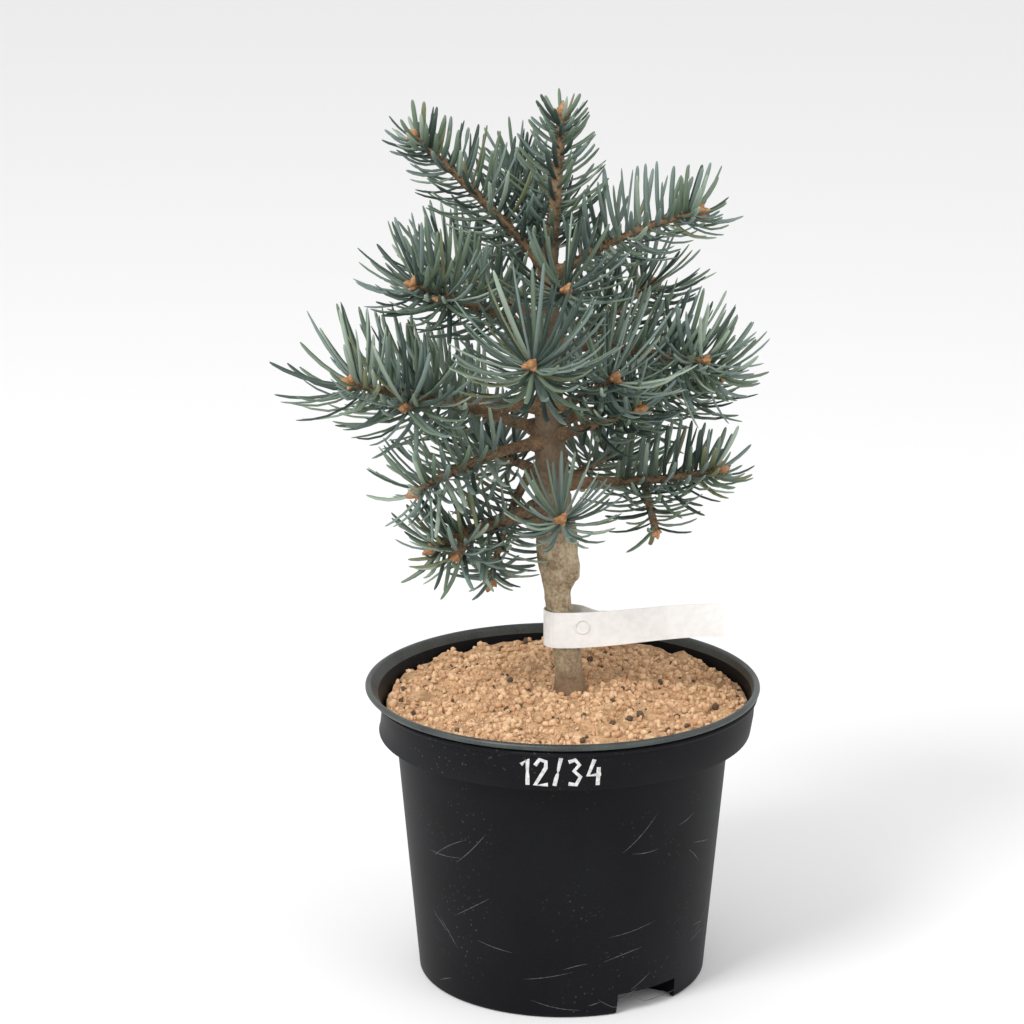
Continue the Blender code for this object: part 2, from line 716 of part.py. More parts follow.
def make_mass(name, twigs, lines, green, solver):
    """Fuse a stem with its side twigs and needles into one solid; say if it closed."""
    parts = bpy.data.collections.new(name + "_parts")
    bpy.context.scene.collection.children.link(parts)
    shapes = [limb(path_rings(*twig), TWIG_SIDES) for twig in twigs]
    shapes += [limb(needle_rings(line), 3, first_angle=-90) for line in lines]
    stem = add_object(name, shapes[0], green)
    for shape in shapes[1:]:
        piece = add_object(name + "_piece", shape, green)
        bpy.context.scene.collection.objects.unlink(piece)
        parts.objects.link(piece)
    combine(stem, parts, "UNION", solver=solver)
    bpy.data.collections.remove(parts)
    return stem, tidy_solid(stem)


def build():
    clear_scene()
    plastic = make_material("black plastic", (0.012, 0.012, 0.014), 0.55)
    mix = make_material("potting mix", (0.50, 0.34, 0.22), 0.95)
    bark = make_material("grey brown bark", (0.22, 0.17, 0.11), 0.85)
    young_bark = make_material("brown bough bark", (0.24, 0.14, 0.07), 0.85)
    film = make_material("white label film", (0.80, 0.79, 0.80), 0.5)
    green = make_material("blue green needles", (0.10, 0.17, 0.14), 0.6)
    make_pot(plastic)
    make_soil(mix)
    make_trunk(bark)
    make_label(film)

    boughs = [make_bough(shoot, young_bark) for shoot in SHOOTS]
    limbs = [(segments_of([bough]), bough.radii[0]) for bough in boughs]
    for low, high in zip(TRUNK, TRUNK[1:]):
        ends = [trunk_at(row[0] * MM)[0] for row in (low, high)]
        limbs.append((segments_of([Twig(ends, None, None)]), max(low[2], high[2]) * MM))

    masses = [(s.name, shoot_twigs(s), s.needle, s.tip) for s in SHOOTS]
    top, radius = trunk_at(TRUNK[-1][0] * MM)
    foot, tip = top + UP * GAP, Vector(LEADER_TIP) * MM
    leader = [foot.lerp(tip, k / 4) for k in range(5)]
    leader_twigs = stem_with_twigs(leader, radius * 0.95, ())
    masses.append(("leader", leader_twigs, LEADER_NEEDLE, LEADER_TIP_SHARE))
    for number, (name, twigs, length, tip_share) in enumerate(masses):
        own = segments_of(twigs)
        others = segments_of([t for other in masses if other[0] != name for t in other[1]])
        for attempt in range(ATTEMPTS):
            chance = random.Random(SEED * 1000 + number * ATTEMPTS + attempt)
            lines = needle_lines(twigs, length, tip_share, chance, own, others, limbs)
            solver = ("EXACT", "MANIFOLD")[attempt % 2]
            mass, closed = make_mass("foliage_" + name, twigs, lines, green, solver)
            if closed or attempt == ATTEMPTS - 1:
                break
            bpy.data.objects.remove(mass)


build()
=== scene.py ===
# %% [markdown]
# # A young compact fir in its nursery pot
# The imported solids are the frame: they fix every size and place, in metres, with +Z up.
# This script dresses them. It keeps what is right, such as the label's strip, and puts a
# finer piece in place of the pot, the mix, the trunk, the boughs and the foliage.

# %% Load the frame
import math
import random
from collections import namedtuple

import bmesh
import bpy
import numpy as np
from mathutils import Euler, Matrix, Vector, noise


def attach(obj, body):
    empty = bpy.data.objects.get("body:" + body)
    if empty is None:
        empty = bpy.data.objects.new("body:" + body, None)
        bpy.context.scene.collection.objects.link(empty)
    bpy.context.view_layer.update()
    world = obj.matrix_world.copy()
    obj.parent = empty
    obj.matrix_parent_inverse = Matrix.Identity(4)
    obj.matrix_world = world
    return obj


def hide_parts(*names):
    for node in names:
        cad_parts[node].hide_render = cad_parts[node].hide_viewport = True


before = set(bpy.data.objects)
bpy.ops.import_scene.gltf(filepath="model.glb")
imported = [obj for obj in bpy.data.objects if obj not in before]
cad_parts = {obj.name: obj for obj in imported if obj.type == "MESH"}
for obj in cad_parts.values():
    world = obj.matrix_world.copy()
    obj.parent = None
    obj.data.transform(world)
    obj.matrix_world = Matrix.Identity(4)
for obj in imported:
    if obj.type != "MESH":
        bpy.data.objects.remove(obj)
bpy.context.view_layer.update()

MM = 0.001
UP = Vector((0, 0, 1))
ROOT = "root"

# %% [markdown]
# ## Camera, floor and light
# The photograph was taken from 1.75 m away, looking down a little. A long lens at that
# spot gives the same near and far sizes. The floor is a plain pale plane, and the light
# is a bright sky with two large soft lamps, so the shadows stay faint.

# %% Place the camera
CAMERA_PLACE = (0, -1.6141, 0.6796)
CAMERA_YAW = math.radians(-0.867)
CAMERA_PITCH = math.radians(-15.543)
LENS = 123.33
SENSOR_WIDTH = 36


def add_object(name, data):
    thing = bpy.data.objects.new(name, data)
    bpy.context.scene.collection.objects.link(thing)
    return thing


def set_camera():
    data = bpy.data.cameras.new("camera")
    data.lens = LENS
    data.sensor_width = SENSOR_WIDTH
    camera = add_object("camera", data)
    level = math.cos(CAMERA_PITCH)
    aim = Vector((math.sin(CAMERA_YAW) * level, math.cos(CAMERA_YAW) * level, math.sin(CAMERA_PITCH)))
    camera.location = CAMERA_PLACE
    camera.rotation_euler = aim.to_track_quat("-Z", "Y").to_euler()
    bpy.context.scene.camera = camera


set_camera()
print("camera lens", LENS, "mm")

# %% Lay the floor and set the light
FLOOR_REACH = 12
FLOOR_TONE = (0.86, 0.86, 0.86)
FLOOR_ROUGHNESS = 0.9
SKY_STRENGTH = 0.92
Lamp = namedtuple("Lamp", "name place aim size watts")
LAMPS = (
    Lamp("key lamp", (-1.3, -1.5, 2.1), (0, 0, 0.25), 0.9, 46),
    Lamp("fill lamp", (1.6, -1.2, 1.2), (0, 0, 0.2), 1.4, 9),
)


def mesh_of(name, bm):
    """Turn a bmesh into a mesh, and let go of it."""
    mesh = bpy.data.meshes.new(name)
    bm.to_mesh(mesh)
    bm.free()
    return mesh


def plain_material(name, colour, roughness):
    material = bpy.data.materials.new(name)
    material.use_nodes = True
    shader = material.node_tree.nodes["Principled BSDF"]
    shader.inputs["Base Color"].default_value = (*colour, 1)
    shader.inputs["Roughness"].default_value = roughness
    return material


def set_floor():
    bm = bmesh.new()
    bmesh.ops.create_grid(bm, x_segments=1, y_segments=1, size=FLOOR_REACH)
    mesh = mesh_of("floor", bm)
    mesh.materials.append(plain_material("pale floor", FLOOR_TONE, FLOOR_ROUGHNESS))
    floor = add_object("floor", mesh)


def add_lamp(row):
    data = bpy.data.lights.new(row.name, "AREA")
    data.size = row.size
    data.energy = row.watts
    lamp = add_object(row.name, data)
    lamp.location = row.place
    lamp.rotation_euler = (Vector(row.aim) - Vector(row.place)).to_track_quat("-Z", "Y").to_euler()


def set_sky():
    world = bpy.data.worlds.new("studio sky")
    world.use_nodes = True
    sky = world.node_tree.nodes["Background"]
    sky.inputs["Color"].default_value = (1, 1, 1, 1)
    sky.inputs["Strength"].default_value = SKY_STRENGTH
    bpy.context.scene.world = world
    bpy.context.scene.view_settings.view_transform = "Standard"


set_floor()
set_sky()
for row in LAMPS:
    add_lamp(row)
print("lamps:", [row.name for row in LAMPS])

# %% [markdown]
# ## Shared effects
# Two effects come back on several finishes. "mottle" mixes two tones by a soft noise and
# gives a height for the bump. "dusting" is a mask of fine specks and drifts that settle on
# a surface. Each is built once as a node group with named sockets, and each finish sets
# its own scale. Both read Object coordinates, because every piece sits at the origin.

# %% Define helpers for nodes


def new_group(name, inputs, outputs):
    group = bpy.data.node_groups.new(name, "ShaderNodeTree")
    for label, kind, value in inputs:
        socket = group.interface.new_socket(label, in_out="INPUT", socket_type=kind)
        socket.default_value = value
    for label, kind in outputs:
        group.interface.new_socket(label, in_out="OUTPUT", socket_type=kind)
    return group, group.nodes.new("NodeGroupInput"), group.nodes.new("NodeGroupOutput")


def put(tree, kind, values=(), **settings):
    """Add a shader node, set it up, and fill in the inputs that stay unlinked."""
    node = tree.nodes.new("ShaderNode" + kind)
    for label, value in settings.items():
        setattr(node, label, value)
    for socket, value in dict(values).items():
        node.inputs[socket].default_value = value
    return node


def wire(tree, *rows):
    """Link sockets. Each row holds a node, its output, the next node and its input."""
    for source, output, target, entry in rows:
        tree.links.new(source.outputs[output], target.inputs[entry])


# %% Build the mottle
TONE_SPAN = {"From Min": 0.38, "From Max": 0.62}
MOTTLE_DETAIL = 4


def make_mottle():
    inputs = [("Light", "NodeSocketColor", (1, 1, 1, 1)), ("Dark", "NodeSocketColor", (0, 0, 0, 1)),
              ("Scale", "NodeSocketFloat", 100.0), ("Fine Scale", "NodeSocketFloat", 900.0)]
    outputs = [("Color", "NodeSocketColor"), ("Height", "NodeSocketFloat")]
    group, given, out = new_group("mottle", inputs, outputs)
    place = put(group, "TexCoord")
    broad = put(group, "TexNoise", {"Detail": MOTTLE_DETAIL})
    fine = put(group, "TexNoise", {"Detail": MOTTLE_DETAIL})
    for texture, scale in ((broad, "Scale"), (fine, "Fine Scale")):
        wire(group, (place, "Object", texture, "Vector"), (given, scale, texture, "Scale"))
    half = put(group, "Math", {1: 0.5}, operation="MULTIPLY")
    both = put(group, "Math", {1: 0.5}, operation="MULTIPLY_ADD")
    spread = put(group, "MapRange", TONE_SPAN)
    mix = put(group, "Mix", data_type="RGBA")
    wire(group, (broad, "Fac", half, 0),
         (fine, "Fac", both, 0),
         (half, 0, both, 2),
         (both, 0, spread, "Value"),
         (spread, "Result", mix, "Factor"),
         (given, "Dark", mix, "A"),
         (given, "Light", mix, "B"),
         (mix, "Result", out, "Color"),
         (both, 0, out, "Height"))
    return group


MOTTLE = make_mottle()
print("node group:", MOTTLE.name)

# %% Build the dusting
DRIFT = {"Scale": 28, "Detail": 6}
SPECK_SPAN = {"From Min": 0.22, "From Max": 0.05}
DRIFT_SPAN = {"From Min": 0.5, "From Max": 0.72}


def make_dusting():
    inputs = [("Scale", "NodeSocketFloat", 600.0), ("Amount", "NodeSocketFloat", 0.3)]
    group, given, out = new_group("dusting", inputs, [("Mask", "NodeSocketFloat")])
    place = put(group, "TexCoord")
    specks = put(group, "TexVoronoi")
    drift = put(group, "TexNoise", DRIFT)
    near = put(group, "MapRange", SPECK_SPAN)
    patch = put(group, "MapRange", DRIFT_SPAN)
    blend = put(group, "Math", operation="MULTIPLY")
    amount = put(group, "Math", operation="MULTIPLY")
    wire(group, (place, "Object", specks, "Vector"),
         (place, "Object", drift, "Vector"),
         (given, "Scale", specks, "Scale"),
         (specks, "Distance", near, "Value"),
         (drift, "Fac", patch, "Value"),
         (near, "Result", blend, 0),
         (patch, "Result", blend, 1),
         (blend, 0, amount, 0),
         (given, "Amount", amount, 1),
         (amount, 0, out, "Mask"))
    return group


DUSTING = make_dusting()
print("node group:", DUSTING.name)

# %% [markdown]
# ## Finishes
# Each finish is a Principled shader fed by the groups. Needles take plain base colours in
# five tones, because a fir's tones change from needle to needle and shoot to shoot more
# than along one needle. Bark, mix and film are mottled, dust lies on the plastic and the
# film, and the trunk's bark is stained at its foot and towards the crown.

# %% List the tones
Finish = namedtuple("Finish", "light dark scale fine roughness bump depth")
FINISHES = {
    "black plastic": Finish((0.0055, 0.0058, 0.0078), (0.0022, 0.0022, 0.003), 22, 1500, 0.5, 0.25, 0.15),
    # The rim's finish is a painted sheen: a lighter greenish grey laid on the lip to stand in for the
    # light along it.
    "painted rim sheen": Finish((0.050, 0.062, 0.055), (0.016, 0.019, 0.019), 60, 1400, 0.42, 0.2, 0.15),
    "potting mix": Finish((0.66, 0.42, 0.23), (0.34, 0.20, 0.105), 160, 900, 0.95, 0.8, 1.0),
    "pale crumb": Finish((0.84, 0.58, 0.36), (0.60, 0.38, 0.21), 300, 1500, 0.95, 0.5, 0.5),
    "tan crumb": Finish((0.70, 0.43, 0.25), (0.46, 0.27, 0.14), 300, 1500, 0.95, 0.5, 0.5),
    "dark crumb": Finish((0.16, 0.10, 0.06), (0.06, 0.04, 0.026), 300, 1500, 0.95, 0.5, 0.5),
    "trunk bark": Finish((0.50, 0.41, 0.27), (0.20, 0.14, 0.085), 120, 620, 0.82, 0.7, 0.7),
    "bough bark": Finish((0.30, 0.19, 0.105), (0.10, 0.06, 0.034), 170, 800, 0.85, 0.7, 0.7),
    "bud scales": Finish((0.52, 0.27, 0.12), (0.27, 0.12, 0.05), 420, 1500, 0.55, 0.5, 0.3),
    "white film": Finish((0.90, 0.89, 0.87), (0.80, 0.79, 0.77), 34, 300, 0.45, 0.1, 0.1),
    "rubbed plastic": Finish((0.10, 0.10, 0.095), (0.03, 0.03, 0.03), 300, 1500, 0.7, 0.2, 0.1),
    "chalk marker": Finish((0.72, 0.72, 0.70), (0.42, 0.42, 0.42), 500, 1800, 0.7, 0.2, 0.1),
}
NEEDLE_TONES = {
    "blue": (0.158, 0.216, 0.192),
    "green": (0.134, 0.186, 0.128),
    "pale": (0.290, 0.360, 0.285),
    "deep": (0.038, 0.064, 0.050),
    "olive": (0.165, 0.180, 0.090),
}


# %% Define how a finish is made
DUST_ROUGHNESS = 0.95
STAIN_SHARE = 0.75
WAX_SCALE = 240
WAX_GLOSS = {"To Min": 0.38, "To Max": 0.68}


def mottled(name):
    finish = FINISHES[name]
    material = plain_material(name, finish.light, finish.roughness)
    tree = material.node_tree
    shader = tree.nodes["Principled BSDF"]
    tones = {"Light": (*finish.light, 1), "Dark": (*finish.dark, 1),
             "Scale": finish.scale, "Fine Scale": finish.fine}
    mottle = put(tree, "Group", tones, node_tree=MOTTLE)
    bump = put(tree, "Bump", {"Strength": finish.bump, "Distance": finish.depth * MM})
    wire(tree, (mottle, "Color", shader, "Base Color"),
         (mottle, "Height", bump, "Height"),
         (bump, "Normal", shader, "Normal"))
    return material


def lay_over(material, mask, colour):
    """Mix a colour over what feeds a material's base colour."""
    tree = material.node_tree
    base = tree.nodes["Principled BSDF"].inputs["Base Color"]
    mix = put(tree, "Mix", data_type="RGBA")
    mix.inputs["B"].default_value = (*colour, 1)
    tree.links.new(mask, mix.inputs["Factor"])
    tree.links.new(base.links[0].from_socket, mix.inputs["A"])
    tree.links.new(mix.outputs["Result"], base)


def add_dust(material, colour, scale, amount):
    """Lay specks of dust over a mottled material's colour, and dull the gloss there."""
    tree = material.node_tree
    dust = put(tree, "Group", {"Scale": scale, "Amount": amount}, node_tree=DUSTING)
    gloss = {"To Min": FINISHES[material.name].roughness, "To Max": DUST_ROUGHNESS}
    dull = put(tree, "MapRange", gloss)
    lay_over(material, dust.outputs["Mask"], colour)
    wire(tree, (dust, "Mask", dull, "Value"),
         (dull, "Result", tree.nodes["Principled BSDF"], "Roughness"))


def add_stain(material, colour, clear, full):
    """Stain a material towards a colour between two heights."""
    tree = material.node_tree
    place = put(tree, "TexCoord")
    parts = put(tree, "SeparateXYZ")
    rise = put(tree, "MapRange", {"From Min": clear, "From Max": full, "To Max": STAIN_SHARE})
    wire(tree, (place, "Object", parts, "Vector"), (parts, "Z", rise, "Value"))
    lay_over(material, rise.outputs["Result"], colour)


def needle_material(name, colour):
    """A plain waxy green, with a gloss that varies a little over the surface."""
    material = plain_material("needle " + name, colour, 0.5)
    tree = material.node_tree
    place = put(tree, "TexCoord")
    wax = put(tree, "TexNoise", {"Scale": WAX_SCALE})
    gloss = put(tree, "MapRange", WAX_GLOSS)
    wire(tree, (place, "Object", wax, "Vector"),
         (wax, "Fac", gloss, "Value"),
         (gloss, "Result", tree.nodes["Principled BSDF"], "Roughness"))
    return material


# %% Make the finishes
PLASTIC_SPECULAR = 0.12
LOOKS = {name: mottled(name) for name in FINISHES}
plastic = LOOKS["black plastic"].node_tree.nodes["Principled BSDF"]
plastic.inputs["Specular IOR Level"].default_value = PLASTIC_SPECULAR
add_dust(LOOKS["black plastic"], colour=(0.10, 0.095, 0.088), scale=380, amount=0.8)
add_stain(LOOKS["trunk bark"], colour=(0.13, 0.062, 0.028), clear=163 * MM, full=146 * MM)
add_stain(LOOKS["trunk bark"], colour=(0.12, 0.075, 0.045), clear=212 * MM, full=250 * MM)
add_dust(LOOKS["white film"], colour=(0.45, 0.36, 0.28), scale=900, amount=0.35)
NEEDLE_LOOKS = {name: needle_material(name, tone) for name, tone in NEEDLE_TONES.items()}
print("finishes:", len(LOOKS) + len(NEEDLE_LOOKS))

# %% [markdown]
# ## Helpers for pieces
# A piece is modelled as a bmesh, turned into one object at the origin, and told which
# body it rides on, which slot its finish belongs to and which solids it stands for.

# %% Define how a piece is set down


def finished(name, mesh, material, nodes=()):
    mesh.materials.append(material)
    mesh.shade_smooth()
    piece = add_object(name, mesh)
    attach(piece, ROOT)
    if nodes:
        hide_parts(*nodes)
    return piece


def show(name, bm, material, nodes=(), sharp=40):
    """A piece from one bmesh, with edges past an angle in degrees kept sharp."""
    mesh = mesh_of(name, bm)
    piece = finished(name, mesh, material, nodes)
    mesh.set_sharp_from_angle(angle=math.radians(sharp))
    print(name, "faces:", len(mesh.polygons))
    return piece


def template_arrays(bm):
    """Points and triangles of a small shape that is repeated many times."""
    bmesh.ops.triangulate(bm, faces=bm.faces)
    bm.verts.index_update()
    points = np.array([vert.co[:] for vert in bm.verts])
    faces = np.array([[vert.index for vert in face.verts] for face in bm.faces])
    bm.free()
    return points, faces


def joined(name, clouds, faces, material):
    """One mesh of many copies: clouds holds the placed points of each copy."""
    count, size = clouds.shape[:2]
    offsets = np.arange(count)[:, None, None] * size
    mesh = bpy.data.meshes.new(name)
    mesh.from_pydata(clouds.reshape(-1, 3).tolist(), [], (faces[None] + offsets).reshape(-1, 3).tolist())
    finished(name, mesh, material)
    print(name, "copies:", count, "triangles:", len(mesh.polygons))


def face_out(bm):
    bmesh.ops.recalc_face_normals(bm, faces=bm.faces)


def add_to(whole, bm):
    """Put one bmesh into another, by way of a mesh that is then deleted."""
    mesh = mesh_of("part", bm)
    whole.from_mesh(mesh)
    bpy.data.meshes.remove(mesh)


# %% Define how shapes are turned and drawn out
RIGHT = Vector((1, 0, 0))
MERGE = 0.01 * MM


def outward(azimuth):
    """Level direction at an azimuth in degrees from the front towards +X."""
    turn = math.radians(azimuth)
    return Vector((math.sin(turn), -math.cos(turn), 0))


def smooth_step(value, low, high):
    share = min(max((value - low) / (high - low), 0.0), 1.0)
    return share * share * (3 - 2 * share)


def spun(profile, sides):
    """Closed solid turned about Z from (radius, height) points."""
    bm = bmesh.new()
    points = [bm.verts.new((radius, 0, height)) for radius, height in profile]
    edges = [bm.edges.new(pair) for pair in zip(points, points[1:])]
    bmesh.ops.spin(bm, geom=points + edges, axis=UP, cent=(0, 0, 0), steps=sides,
                   angle=math.tau, use_merge=True)
    bmesh.ops.remove_doubles(bm, verts=bm.verts, dist=MERGE)
    return bm


def arc(centre, radius, start, end, steps):
    """Points of an arc in the profile plane, its angles in degrees from +radius."""
    turns = [math.radians(start + (end - start) * k / steps) for k in range(steps + 1)]
    return [(centre[0] + radius * math.cos(t), centre[1] + radius * math.sin(t)) for t in turns]


def ring_matrix(centre, along, across, half_width, half_height):
    """Matrix that lays a unit circle as one cross-section of a limb."""
    along = along.normalized()
    across = (across - along * across.dot(along)).normalized()
    above = along.cross(across)
    turn = Matrix((across * half_width, above * half_height, along * MM)).transposed()
    return Matrix.Translation(centre) @ turn.to_4x4()


def limb(rings, sides):
    """Solid drawn out of one circle through its rings."""
    bm = bmesh.new()
    made = bmesh.ops.create_circle(bm, cap_ends=True, segments=sides, radius=1.0)
    bmesh.ops.transform(bm, matrix=rings[0], verts=made["verts"])
    face = bm.faces[:][0]
    inner_faces = []
    for before, after in zip(rings, rings[1:]):
        inner_faces.append(face)
        drawn = bmesh.ops.extrude_face_region(bm, geom=[face])["geom"]
        face = next(item for item in drawn if isinstance(item, bmesh.types.BMFace))
        verts = [item for item in drawn if isinstance(item, bmesh.types.BMVert)]
        bmesh.ops.transform(bm, matrix=after @ before.inverted(), verts=verts)
    bmesh.ops.delete(bm, geom=inner_faces[1:], context="FACES_ONLY")
    return bm


# %% [markdown]
# ## The pot
# A moulded pot is a turned shape: a tapering body, a wider collar and a rolled lip.
# Its outline is spun, as on a lathe. The drain bays are then cut by cylinders, each first
# lined with a second cylinder so that the wall stays as thick there. The collar is pressed
# in at the left, as thin plastic is after a move or two.

# %% List the pot's sizes
POT_SIDES = 160
WALL = 1.6 * MM
FLOOR = 2.0 * MM
FOOT_RADIUS = 70 * MM
FOOT_ROUND = 2.0 * MM
BODY_TOP_RADIUS = 80.8 * MM
COLLAR_FOOT = 122.3 * MM
COLLAR_FOOT_RADIUS = 91.2 * MM
COLLAR_TOP = 141.6 * MM
COLLAR_TOP_RADIUS = 93.1 * MM
LIP_TOP = 146.1 * MM
LIP_RADIUS = 95.5 * MM
LIP_THICKNESS = 3.2 * MM
DENT = 5 * MM
BAY_AZIMUTHS = (36.5, 146.0, 259.0)
BAY_CENTRE = 63 * MM
BAY_RADIUS = 18 * MM
BAY_HEIGHT = 10.5 * MM
BAY_SIDES = 56
DRAIN_CENTRE = 54 * MM
DRAIN_RADIUS = 4 * MM
DRAIN_SIDES = 20
# Places across the foot where the groove under it starts, deepens, rises and ends
FOOT_GROOVE = (0.86, 0.88, 0.95, 0.955)
FOOT_GROOVE_DEPTH = 0.5 * MM
COLLAR_ROUND = 1.2 * MM
COLLAR_CORNER = 0.35 * MM
COLLAR_BEND = 0.5 * MM
BEAD_RADIUS = 1.1 * MM
LIP_GROOVE = 0.7 * MM
print("pot:", LIP_RADIUS * 2 / MM, "mm wide,", LIP_TOP / MM, "mm high")

# %% Draw the pot's outline


def dent_collar(point):
    """Press the collar in at the left, between its foot and the lip."""
    across = Vector((point[0], point[1], 0))
    if across.length < BODY_TOP_RADIUS:
        return point
    side = max(-across.normalized().x, 0.0) ** 5
    low = smooth_step(point[2], COLLAR_FOOT - 3 * MM, COLLAR_FOOT + 5 * MM)
    high = 1 - smooth_step(point[2], COLLAR_TOP - 4 * MM, LIP_TOP - MM)
    return point - across.normalized() * DENT * side * low * high


def outer_profile():
    """The pot's outside, from the middle of its foot up and over the lip."""
    lip_round = LIP_THICKNESS / 2
    lip_centre = (LIP_RADIUS - lip_round, LIP_TOP - lip_round)
    bead_centre = (COLLAR_TOP_RADIUS + 0.3 * MM, COLLAR_TOP - 0.6 * MM)
    depths = (0, FOOT_GROOVE_DEPTH, FOOT_GROOVE_DEPTH, 0)
    points = [(0, 0)]
    points += [(FOOT_RADIUS * share, depth) for share, depth in zip(FOOT_GROOVE, depths)]
    points += arc((FOOT_RADIUS - FOOT_ROUND, FOOT_ROUND), FOOT_ROUND, -90, 0, 5)
    points += [
        (BODY_TOP_RADIUS, COLLAR_FOOT),
        (COLLAR_FOOT_RADIUS - COLLAR_ROUND, COLLAR_FOOT),
        (COLLAR_FOOT_RADIUS - COLLAR_CORNER, COLLAR_FOOT + COLLAR_CORNER),
        (COLLAR_FOOT_RADIUS, COLLAR_FOOT + COLLAR_ROUND),
        (COLLAR_TOP_RADIUS - COLLAR_BEND, (COLLAR_FOOT + COLLAR_TOP) / 2),
        (COLLAR_TOP_RADIUS, COLLAR_TOP - 2 * BEAD_RADIUS),
    ]
    points += arc(bead_centre, BEAD_RADIUS, -60, 60, 4)
    points += [(LIP_RADIUS - lip_round - LIP_GROOVE, COLLAR_TOP + 0.9 * MM)]
    points += arc(lip_centre, lip_round, -50, 180, 10)
    return points


def inner_profile():
    """The pot's inner wall, from under the lip down to the middle of its floor."""
    return [
        (COLLAR_TOP_RADIUS - WALL, COLLAR_TOP),
        (COLLAR_TOP_RADIUS - COLLAR_BEND - WALL, (COLLAR_FOOT + COLLAR_TOP) / 2),
        (COLLAR_FOOT_RADIUS - WALL, COLLAR_FOOT + WALL),
        (BODY_TOP_RADIUS - WALL, COLLAR_FOOT + WALL),
        (FOOT_RADIUS - WALL, FLOOR + FOOT_ROUND),
        (FOOT_RADIUS - WALL - FOOT_ROUND, FLOOR),
        (0, FLOOR),
    ]


# %% Define how bays are cut


def loose_object(bm):
    face_out(bm)
    return add_object("tool", mesh_of("tool", bm))


def upright_cylinder(azimuth, centre, radius, low, high, sides=BAY_SIDES):
    """A plain upright cylinder, used to cut or to line a bay."""
    bm = bmesh.new()
    middle = outward(azimuth) * centre + UP * (low + high) / 2
    bmesh.ops.create_cone(bm, cap_ends=True, segments=sides, radius1=radius, radius2=radius,
                          depth=high - low, matrix=Matrix.Translation(middle))
    return loose_object(bm)


def combine(target, tool, operation):
    modifier = target.modifiers.new("cut", "BOOLEAN")
    modifier.operation = operation
    modifier.object = tool
    graph = bpy.context.evaluated_depsgraph_get()
    result = bpy.data.meshes.new_from_object(target.evaluated_get(graph))
    target.modifiers.clear()
    target.data = result
    bpy.data.objects.remove(tool)


def cut_bay(pot, azimuth, middle_of_wall):
    """Line one bay within the pot, then cut the bay and its drain hole."""
    lining = upright_cylinder(azimuth, BAY_CENTRE, BAY_RADIUS + WALL, 0.7 * MM, BAY_HEIGHT + WALL)
    bay = upright_cylinder(azimuth, BAY_CENTRE, BAY_RADIUS, -5 * MM, BAY_HEIGHT)
    drain = upright_cylinder(azimuth, DRAIN_CENTRE, DRAIN_RADIUS, BAY_HEIGHT - MM,
                             BAY_HEIGHT + 3 * WALL, DRAIN_SIDES)
    combine(lining, loose_object(spun(middle_of_wall, POT_SIDES)), "INTERSECT")
    combine(pot, lining, "UNION")
    combine(pot, bay, "DIFFERENCE")
    combine(pot, drain, "DIFFERENCE")


# %% Turn the pot


def make_pot():
    bm = spun(outer_profile() + inner_profile(), POT_SIDES)
    for vert in bm.verts:
        vert.co = dent_collar(vert.co)
    pot = loose_object(bm)
    middle_of_wall = [
        (0, FLOOR / 2),
        (FOOT_RADIUS - WALL / 2 - FOOT_ROUND, FLOOR / 2),
        (FOOT_RADIUS - WALL / 2, FOOT_ROUND + FLOOR / 2),
        (BODY_TOP_RADIUS - WALL / 2, COLLAR_FOOT),
        (0, COLLAR_FOOT),
    ]
    for azimuth in BAY_AZIMUTHS:
        cut_bay(pot, azimuth, middle_of_wall)
    bm = bmesh.new()
    bm.from_mesh(pot.data)
    bpy.data.objects.remove(pot)
    # Faces above the collar's top, the lip, take the second slot: a lighter greenish grey that is a
    # painted sheen along the rim.
    for face in bm.faces:
        face.material_index = int(face.calc_center_median().z > COLLAR_TOP + MM)
    piece = show("nursery_pot", bm, LOOKS["black plastic"], ["pot"], sharp=30)
    piece.data.materials.append(LOOKS["painted rim sheen"])


make_pot()

# %% [markdown]
# ## Marker strokes on the collar
# Growers write a batch on the collar with a white paint pen. These are plain digits. Each
# stroke is a short chain of points in millimetres, laid round the collar and drawn out as
# a flat bead, the way a pen leaves a thin raised line.

# %% Write plain digits
DIGITS = {
    "1": (((0, 10), (3, 13), (3, 0)),),
    "2": (((0, 10), (2, 13), (5, 12), (5, 9), (0, 0), (6, 0.5)),),
    "/": (((0, 0), (3, 14)),),
    "3": (((0, 12), (3, 13), (5, 10.5), (2.5, 7.5), (5.5, 4.5), (3.5, 0.5), (0, 1)),),
    "4": (((3, 13), (0, 5), (6, 5.5)), ((5, 9), (4.5, 0))),
}
WRITING = (("1", -19.0), ("2", -12.5), ("/", -3.5), ("3", 3.0), ("4", 12.0))
WRITING_FOOT = 125.4
PEN_HALF = 0.95 * MM
PEN_THICK = 0.2 * MM
PEN_PROUD = 0.14 * MM


def on_wall(radius, x, height):
    """A point on a round wall, so many millimetres round it from the front."""
    turn = x * MM / radius
    return Vector((radius * math.sin(turn), -radius * math.cos(turn), height * MM))


def on_collar(x, height):
    half = (COLLAR_FOOT + COLLAR_TOP) / 2
    low, high = (COLLAR_FOOT, COLLAR_FOOT_RADIUS), (half, COLLAR_TOP_RADIUS - COLLAR_BEND)
    if height * MM > half:
        low, high = high, (COLLAR_TOP, COLLAR_TOP_RADIUS)
    share = (height * MM - low[0]) / (high[0] - low[0])
    return on_wall(low[1] + (high[1] - low[1]) * share + PEN_PROUD, x, height)


def add_bead(whole, marks, widths, thickness, sides):
    """Draw a flat bead through marks on a round wall, and put it into the whole."""
    rings = []
    for index, mark in enumerate(marks):
        along = marks[min(index + 1, len(marks) - 1)] - marks[max(index - 1, 0)]
        outer = Vector((mark.x, mark.y, 0)).normalized()
        rings.append(ring_matrix(mark, along, along.cross(outer), widths[index], thickness))
    add_to(whole, limb(rings, sides))


